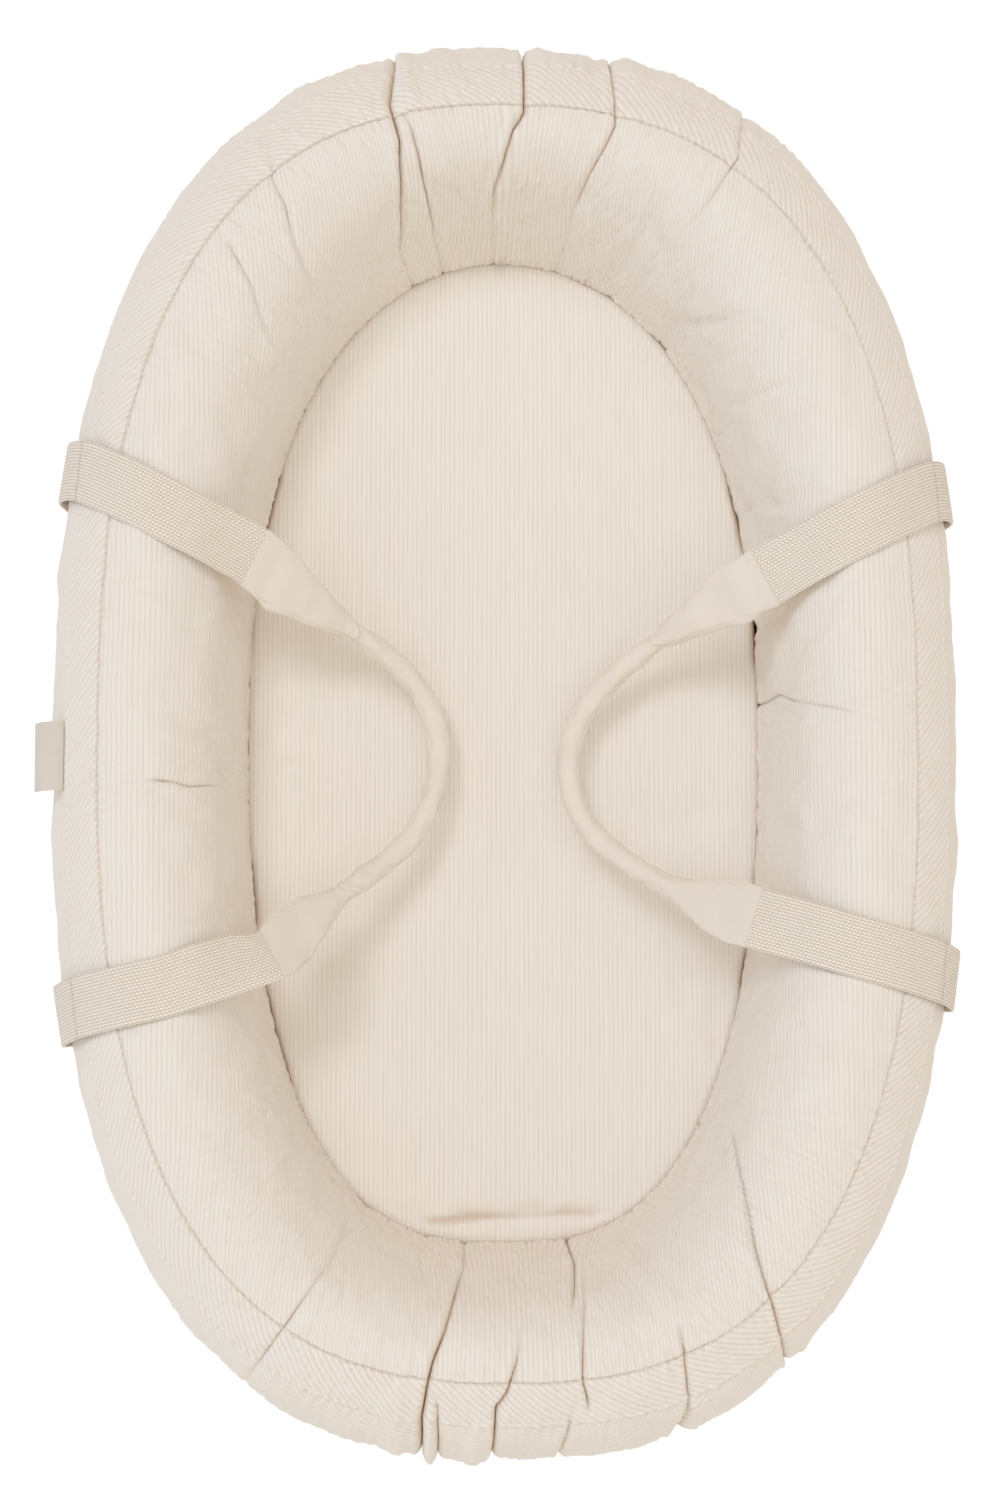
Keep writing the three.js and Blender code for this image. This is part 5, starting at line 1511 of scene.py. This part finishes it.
def sewn_frames(name, foot):
    """Frames of the sewn end, flat on the wall, from its lowest place upwards."""
    side = SIDES[name]
    station = station_at(side * outer_line(0.0)[0], LEGS[name][1 if foot else 0][0] * MM)
    degrees = np.linspace(ANCHOR_DEG, SEWN_DEG, SEWN_PLACES + 1)[:-1]
    centres = off_wall(np.full(SEWN_PLACES, station), degrees, REST)
    tangent = np.array([-np.sin(station), np.cos(station), 0.0])
    tangent *= np.sign(tangent[1]) * (-1.0 if foot else 1.0)
    across = np.broadcast_to(tangent, centres.shape)
    normal = section(np.full(SEWN_PLACES, station), degrees)[1]
    return centres, across, normal


def strap_piece(name, frames, start, blend, *nodes):
    """A length of webbing whose weave starts at that length; blend, the two bodies and the two
    places of a bend, is not used."""
    strap = strip_piece(name, *frames, WEBBING_WIDTH, WEBBING, start=start)
    strap.data.materials.append(webbing)
    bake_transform(strap)
    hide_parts(*nodes)


def leg(name, foot):
    """Both pieces of a leg: the sewn end with the length that rises from it, and the
    length over the crown, which goes on with the same count of picks."""
    line, side = lines[name], SIDES[name]
    last = len(line[0]) - 1
    sewn, join, mouth = 0.0, JOIN_ROW, MOUTH_HEAD + SLEEVE_LAP
    if foot:
        sewn, join, mouth = last, last - JOIN_ROW, MOUTH_FOOT - SLEEVE_LAP
    wall = sewn_frames(name, foot)
    rising = strap_frames(line, sewn, join)
    turned = np.cross(rising[1][0], rising[2][0]) @ np.cross(wall[1][0], wall[2][0])
    wall = (wall[0], wall[1], wall[2] * np.sign(turned))
    low = [np.concatenate(pair) for pair in zip(wall, rising)]
    whole = f"{name}_{'foot' if foot else 'head'}_leg"
    over = strap_frames(line, join, mouth)
    woven, rest = (float(lengths_along(frames[0])[-1]) for frames in (low, over))
    strap_piece(whole + "_rising", low, 0.0,
                ("nest", name + "_straps", *((0.0, 0.0, z) for z in SEWN_BEND)),
                whole + "_sewn_end")
    fold = ((side * x, 0.0, BLEND_Z) for x in (CROWN_X, CROWN_X - FOLD_LENGTH))
    strap_piece(whole + "_over", over, woven, (name + "_straps", name + "_handle", *fold),
                whole + "_lower", whole + "_upper")
    print(whole, "length, m:", round(woven + rest, 3))


for name in lines:
    leg(name, False)
    leg(name, True)

# %% [markdown]
# The sleeve is a tube of plain cotton, as flat as the strap at its mouths, where the
# two are sewn together, and round where the hand holds it, over a core of wadding.
# In between it narrows, most of all at the neck, where it creases a little. A seam
# runs along the inner side of the bend, under a row of stitches where it's flat.

# %% Sleeves and cores
TUBE_RADIUS, MOUTH_HALF_WIDTH = 0.0070, 0.0195
MOUTH_EDGE, MOUTH_DEPTH = 0.0021, 0.0038
HEAD_FLAT, HEAD_FLARE, FOOT_FLAT, FOOT_FLARE = 0.016, 0.089, 0.012, 0.076
EDGE_REACH, FLAT_POWER, EDGE_POWER, POWER_FROM, POWER_OVER = 0.022, 0.9, 3.0, 0.010, 0.016
FLATTENING = 0.8
TUBE_SIDES, TUBE_STEP, CORE_SIDES, CORE_ENDS = 96, 0.0016, 20, 14
HEM_INSET, CORE_INSET = 0.0009, 0.0012
NECK_SHIFT, NECK_REACH, NECK_WIDTH, NECK_DEPTH = 0.002, 0.013, 0.0012, 0.0007
SEAM_TURN, SEAM_WIDTH, SEAM_DEPTH, CLOTH_RADIUS = 0.62, 0.075, 0.00045, 0.011
CREASE_HEIGHT, CREASE_LEAN, SLEEVE_UNEVEN, EVEN_MOUTH = 0.00042, 0.004, 0.00045, 0.01
SAMPLE_ROW = 40


def sleeve_sizes(lengths):
    """Half the width, half the depth and the squareness of the sleeve's section, and
    how near its necks it is, from the lengths along it: each goes smoothly from the
    tube's value to the mouth's, and the necks draw it in by a small bell."""
    back = lengths[-1] - lengths
    to_end = np.minimum(lengths, back)
    opening = np.maximum(smoothstep((HEAD_FLARE - lengths) / (HEAD_FLARE - HEAD_FLAT)),
                         smoothstep((FOOT_FLARE - back) / (FOOT_FLARE - FOOT_FLAT)))
    neck = np.exp(-((lengths - HEAD_FLARE + NECK_SHIFT) / NECK_REACH) ** 2)
    neck += np.exp(-((back - FOOT_FLARE + NECK_SHIFT) / NECK_REACH) ** 2)
    half_w = TUBE_RADIUS + (MOUTH_HALF_WIDTH - TUBE_RADIUS) * opening - NECK_WIDTH * neck
    mouth_depth = MOUTH_EDGE + (MOUTH_DEPTH - MOUTH_EDGE) * smoothstep(to_end / EDGE_REACH)
    flattened = opening ** FLATTENING
    half_d = TUBE_RADIUS + (mouth_depth - TUBE_RADIUS) * flattened - NECK_DEPTH * neck
    at_edge = 1.0 - smoothstep((to_end - POWER_FROM) / POWER_OVER)
    power = 2.0 + opening * (FLAT_POWER + EDGE_POWER * at_edge)
    return half_w, half_d, power, neck


def tube_grid(line, numbers, sizes, inward, sides):
    """The sleeve's grid of points: |x/w|^p + |y/d|^p = 1 in each frame of the line."""
    centres, across, normals = frames_at(line, numbers)
    half_w, half_d, power, _ = (size[:, None] for size in sizes)
    turn = round_turn(sides)
    x = signed_power(np.cos(turn), 2.0 / power) * (half_w - inward)
    y = signed_power(np.sin(turn), 2.0 / power) * (half_d - inward)
    return centres[:, None] + across[:, None] * x[..., None] + normals[:, None] * y[..., None]


def grid_normals(grid):
    """Outward normals of a tube's grid: across both the steps round and along it."""
    along = np.gradient(grid, axis=0)
    round_it = np.roll(grid, -1, axis=1) - np.roll(grid, 1, axis=1)
    normal = unit(np.cross(round_it, along))
    out = np.sum(normal * (grid - grid.mean(1, keepdims=True)), -1).mean()
    return normal * np.sign(out)


def grip(name):
    """The sleeve and the core of one handle; the sleeve's faces are turned outwards
    by a look at one of them."""
    line = lines[name]
    numbers, lengths = even_numbers(line, MOUTH_HEAD, MOUTH_FOOT, TUBE_STEP)
    sizes = sleeve_sizes(lengths)
    grid = tube_grid(line, numbers, sizes, 0.0, TUBE_SIDES)
    up = np.sign(frames_at(line, numbers)[2][:, 2].mean())
    turn = round_turn(TUBE_SIDES)
    d = lengths[:, None] * np.ones(TUBE_SIDES)
    to_end = np.minimum(d, lengths[-1] - d)
    crease = pucker(d * 0.9 + CREASE_LEAN * np.sin(turn * 2.0 + 1.0)) * sizes[3][:, None]
    height = CREASE_HEIGHT * crease + SLEEVE_UNEVEN * uneven(d * 2.0, np.sin(turn) * 0.03)
    seam = np.angle(np.exp(1j * (turn - np.pi + up * SEAM_TURN)))
    seam_line = bulge(seam, SEAM_DEPTH, 0.0, SEAM_WIDTH)
    height -= seam_line * (1.0 - smoothstep(sizes[3] * 0.5))[:, None]
    grid = grid + grid_normals(grid) * (height * smoothstep(to_end / EVEN_MOUTH))[..., None]
    hem = tube_grid(line, numbers[[0, -1]], [size[[0, -1]] for size in sizes], HEM_INSET,
                    TUBE_SIDES)
    grid = np.concatenate([hem[:1], grid, hem[1:]])
    d = edged(d)
    u = closing(np.broadcast_to(turn * CLOTH_RADIUS, d.shape),
                np.full((len(d), 1), 2 * np.pi * CLOTH_RADIUS))
    row, after = grid[SAMPLE_ROW], grid[SAMPLE_ROW + 1]
    outward = np.cross(row[1] - row[0], after[0] - row[0]) @ (row[0] - row.mean(0)) > 0
    sleeve = closed_tube(name + "_grip_cloth", grid, grid[[0, -1]].mean(1), not outward,
                         (u, closing(d)))
    finish_piece(sleeve, canvas, name + "_handle", "plain_cotton", name + "_grip_sleeve")
    whole = slice(CORE_ENDS, -CORE_ENDS)
    inner = tube_grid(line, numbers, sizes, CORE_INSET, CORE_SIDES)[whole]
    d = np.repeat(lengths[whole, None], CORE_SIDES + 1, 1)
    core = closed_tube(name + "_grip_padding", inner, inner[[0, -1]].mean(1), not outward, (d, d))
    finish_piece(core, wadding, name + "_handle", "wadding", name + "_grip_core")
    return line, numbers, lengths, sizes, up


grips = {name: grip(name) for name in lines}

# %% [markdown]
# A small folded tab of plain cotton is caught in the band's lower seam on the left.
# Its two layers lie close together, so one thin strip along a short curve shows both.

# %% Bare tab
TAB_WIDTH, TAB_LENGTH, TAB_THICK, TAB_EDGE = 0.043, 0.027, 0.0012, 0.12
TAB_Y, TAB_OUT = -0.0140, 0.0003
TAB_LINE = np.array([[0.0, 0.0], [-0.14, 0.005], [-0.31, -0.10], [-0.43, -0.30]]) * TAB_WIDTH
root = off_wall(np.pi, TAB_DEG, TAB_OUT)
root[1] = TAB_Y
knots = root + np.insert(TAB_LINE, 1, 0.0, 1)
centres = curve_at(knots, np.linspace(0.0, 3.0, 25))
across = np.broadcast_to([0.0, 1.0, 0.0], centres.shape)
normals = unit(np.cross(np.gradient(centres, axis=0), across))
tab = strip_piece("bare_tab", centres, across, normals, TAB_WIDTH, TAB_THICK, TAB_EDGE)
finish_piece(tab, tab_cotton, "nest", "plain_cotton", "side_tab")

# %% [markdown]
# Below, a plain cotton base closes the roll. A zip down its middle lets the mattress
# be taken out. The base is a flat sheet with a slot, and a little thinner at both its
# edges. Each side of the slot has a tape and a nylon coil, and the slider runs on both.

# %% Base and zip
BASE_TOP, BASE_LOW, BASE_EDGE_LIFT = 0.0012, 0.00012, 0.0004
SLOT_X, SLOT_Y, ZIP_Y, CORNER_Y = 0.004, 0.200, 0.005, 0.33
BASE_SHARES = np.array([0.0, 0.004, 0.02, 0.10, 0.25, 0.5, 0.75, 0.92, 0.992, 1.0])
BASE_COLUMNS = 520


def slotted_ring(count):
    """The base's outline and the slot's, point for point: the outline's coordinates,
    each clipped to those of its point at the slot's corner, scaled to the slot."""
    turns = stations[::max(1, len(stations) // count)]
    outline = section(turns, BASE_DEG)[0][:, :2]
    corner = np.abs(outline[np.abs(outline[:, 1] - CORNER_Y).argmin()])
    inner = np.clip(outline / corner, -1.0, 1.0) * (SLOT_X, SLOT_Y) + (0.0, ZIP_Y)
    return outline, inner


outline, inner = slotted_ring(BASE_COLUMNS)
flat = inner + (outline - inner) * BASE_SHARES[:, None, None]
thinner = BASE_EDGE_LIFT * (np.abs(BASE_SHARES - 0.5) > 0.49)
low = np.broadcast_to((BASE_LOW + thinner)[:, None], flat.shape[:2])
sheet_low = np.concatenate([flat, low[..., None]], -1)
sheet_top = np.insert(flat, 2, BASE_TOP, -1)
grid = np.concatenate([sheet_low, sheet_top[::-1]])
quads, _ = grid_faces(len(grid) + 1, grid.shape[1])
quads %= grid.shape[0] * grid.shape[1]
base = new_piece("base_cloth", grid, quads, grid.reshape(-1, 3)[quads][..., :2])
finish_piece(base, base_canvas, "nest", "plain_cotton", "base_panel")


def box_grid(name, low, high):
    """A box as eight points, with x and y as its texture coordinates."""
    corners = np.array([[x, y, z] for z in (low[2], high[2]) for y in (low[1], high[1])
                        for x in (low[0], high[0])])
    quads = np.array([[0, 2, 3, 1], [4, 5, 7, 6], [0, 1, 5, 4],
                      [2, 6, 7, 3], [0, 4, 6, 2], [1, 3, 7, 5]])
    return new_piece(name, corners, quads, corners[quads][..., :2], smooth=False)


TAPE_NEAR, TAPE_FAR, TAPE_HALF, TAPE_LOW, TAPE_HIGH = 0.003, 0.017, 0.207, 0.0015, 0.0020
COIL_X, COIL_Z, COIL_WIDE, COIL_HIGH = 0.0016, 0.00175, 0.0010, 0.0006
COIL_HALF, COIL_PITCH, COIL_STEPS, WIRE, WIRE_SIDES = 0.1990, 0.0016, 8, 0.00022, 5
for name, side in SIDES.items():
    near, far = sorted((side * TAPE_NEAR, side * TAPE_FAR))
    tape = box_grid("tape_" + name, (near, ZIP_Y - TAPE_HALF, TAPE_LOW),
                    (far, ZIP_Y + TAPE_HALF, TAPE_HIGH))
    finish_piece(tape, zip_tape, "nest", "zip_tape", "zip_tape_" + name)
    y = np.arange(ZIP_Y - COIL_HALF, ZIP_Y + COIL_HALF, COIL_PITCH / COIL_STEPS)
    spin = (y - y[0]) / COIL_PITCH * 2.0 * np.pi
    middle = np.stack([side * (COIL_X + COIL_WIDE * np.cos(spin)), y,
                       COIL_Z + COIL_HIGH * np.sin(spin)], -1)
    way = unit(np.gradient(middle, axis=0))
    out = unit(np.cross(way, (0.0, 1.0, 0.0)))
    grid = middle[:, None] + WIRE * circles(out, np.cross(way, out), WIRE_SIDES)
    coil = closed_tube("coil_" + name, grid, middle[[0, -1]], True, flat_caps=False)
    finish_piece(coil, nylon, "nest", "zip_coil", "zip_coil_" + name)

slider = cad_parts["zip_slider"]
slider.data.materials.clear()
slider.data.materials.append(metal)

# %% [markdown]
# Stitches are what tells a sewn thing from a moulded one. Each is a tiny rounded
# bead of thread, half sunk in the cloth, and the same small shape is copied along
# the seams: round the floor, along the band's upper edge, and along the flat ends of
# the sleeves. A kind of stitch is its pitch, its length and its thread's radius.

# %% Stitches
BEAD = np.array([[0.0, 0.45, 0.0], [0.18, 1.0, 0.9], [0.82, 1.0, 0.9], [1.0, 0.45, 0.0]])
BEAD_SIDES, BEAD_SINK, FIRST_SHARE = 5, 0.75, 0.15
FLOOR_THREAD, BAND_THREAD = (0.0031, 0.0020, 0.00030), (0.0030, 0.0024, 0.00024)
SLEEVE_THREAD = (0.0026, 0.0018, 0.00022)
FLOOR_ROW, BAND_ROW, EDGE_ROW, MOUTH_ROW = 0.0023, 0.0007, 0.0022, 0.0016
ROW_START, HEAD_STOP, FOOT_STOP = 0.003, 0.016, 0.014
MOUTH_SHARE, MOUTH_PLACES = 0.97, 60


def beads(path, normals, pitch, length, radius):
    """Points and faces of the stitches along a path: at every pitch one bead of that
    length and radius, four rings of five points raised by the normal."""
    walked = lengths_along(path)
    count = int(walked[-1] / pitch)
    starts = (np.arange(count) + FIRST_SHARE) * walked[-1] / count

    def along(where, values):
        """Values on the path at those lengths."""
        return np.stack([np.interp(where, walked, values[:, k]) for k in range(3)], -1)

    first, last = along(starts, path), along(starts + length, path)
    up = unit(along(starts + length / 2, normals))
    way = unit(last - first)
    side = unit(np.cross(way, up))
    ring = circles(side, up, BEAD_SIDES)
    share, thick, lift = BEAD.T
    centre = first[:, None] + (last - first)[:, None] * share[:, None]
    centre = centre + up[:, None] * (radius * (lift - BEAD_SINK))[:, None]
    points = centre[:, :, None] + ring[:, None] * (radius * thick)[:, None, None]
    quads, _ = grid_faces(len(BEAD), BEAD_SIDES, flip=True)
    row = np.arange(BEAD_SIDES)
    size = len(BEAD) * BEAD_SIDES
    every = np.arange(count)[:, None, None] * size
    caps = np.stack([row, size - 1 - row])
    return (points.reshape(-1, 3), (quads[None] + every).reshape(-1, 4),
            (caps[None] + every).reshape(-1, BEAD_SIDES))


def stitch_piece(name, rows, material, body):
    """One piece from several rows of stitches; each is what beads() takes."""
    points, quads, caps, start = [], [], [], 0
    for row in rows:
        p, q, c = beads(*row)
        points, quads, caps = [*points, p], [*quads, q + start], [*caps, c + start]
        start += len(p)
    piece = new_piece(name, np.concatenate(points), [np.concatenate(quads), np.concatenate(caps)])
    piece.data.materials.append(material)
    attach(piece, body)
    print(name, "stitches:", sum(map(len, caps)) // 2)


def row_at(grid, normal, distance, wanted):
    """The closed row of a cover grid whose distance from the seam is nearest."""
    row = int(np.abs(distance.mean(1) - wanted).argmin())
    return [np.concatenate([values[row], values[row][:1]]) for values in (grid, normal)]


def on_sleeve(name, first, last, inside):
    """A line on the sleeve's upper side between two lengths, so far inside its edge
    at the inner side of the bend."""
    line, numbers, lengths, sizes, up = grips[name]
    keep = (lengths >= first) & (lengths <= last)
    centres, across, normals = frames_at(line, numbers[keep])
    half_w, half_d, power, _ = (size[keep] for size in sizes)
    x = half_w - inside
    y = half_d * (1.0 - (x / half_w) ** power) ** (1.0 / power)
    return centres - across * x[:, None] + normals * (up * y)[:, None], normals * up


def on_mouth(name, foot, inside):
    """A line across the sleeve's upper side, so far inside its mouth."""
    line, numbers, lengths, sizes, up = grips[name]
    at = lengths[-1] - inside if foot else inside
    number = np.interp([at], lengths, numbers)
    half_w, half_d, power, _ = (np.interp(at, lengths, size) for size in sizes)
    centre, across, normal = (value[0] for value in frames_at(line, number))
    x = np.linspace(-MOUTH_SHARE, MOUTH_SHARE, MOUTH_PLACES) * half_w
    y = half_d * (1.0 - np.abs(x / half_w) ** power) ** (1.0 / power)
    points = centre + across * x[:, None] + normal * (up * y)[:, None]
    return points, np.broadcast_to(normal * up, points.shape)


stitch_piece("floor_seam_stitches",
             [(*row_at(wall, wall_normal, from_seam, FLOOR_ROW), *FLOOR_THREAD)],
             light_thread, "nest")
stitch_piece("band_seam_stitches",
             [(*row_at(band, band_normal, from_upper, BAND_ROW), *BAND_THREAD)],
             thread, "nest")
for name, (_, _, lengths, _, _) in grips.items():
    total = lengths[-1]
    rows = [on_sleeve(name, ROW_START, HEAD_FLARE - HEAD_STOP, EDGE_ROW),
            on_sleeve(name, total - FOOT_FLARE + FOOT_STOP, total - ROW_START, EDGE_ROW),
            on_mouth(name, False, MOUTH_ROW), on_mouth(name, True, MOUTH_ROW)]
    stitch_piece(name + "_grip_stitches", [(*row, *SLEEVE_THREAD) for row in rows],
                 light_thread, name + "_handle")
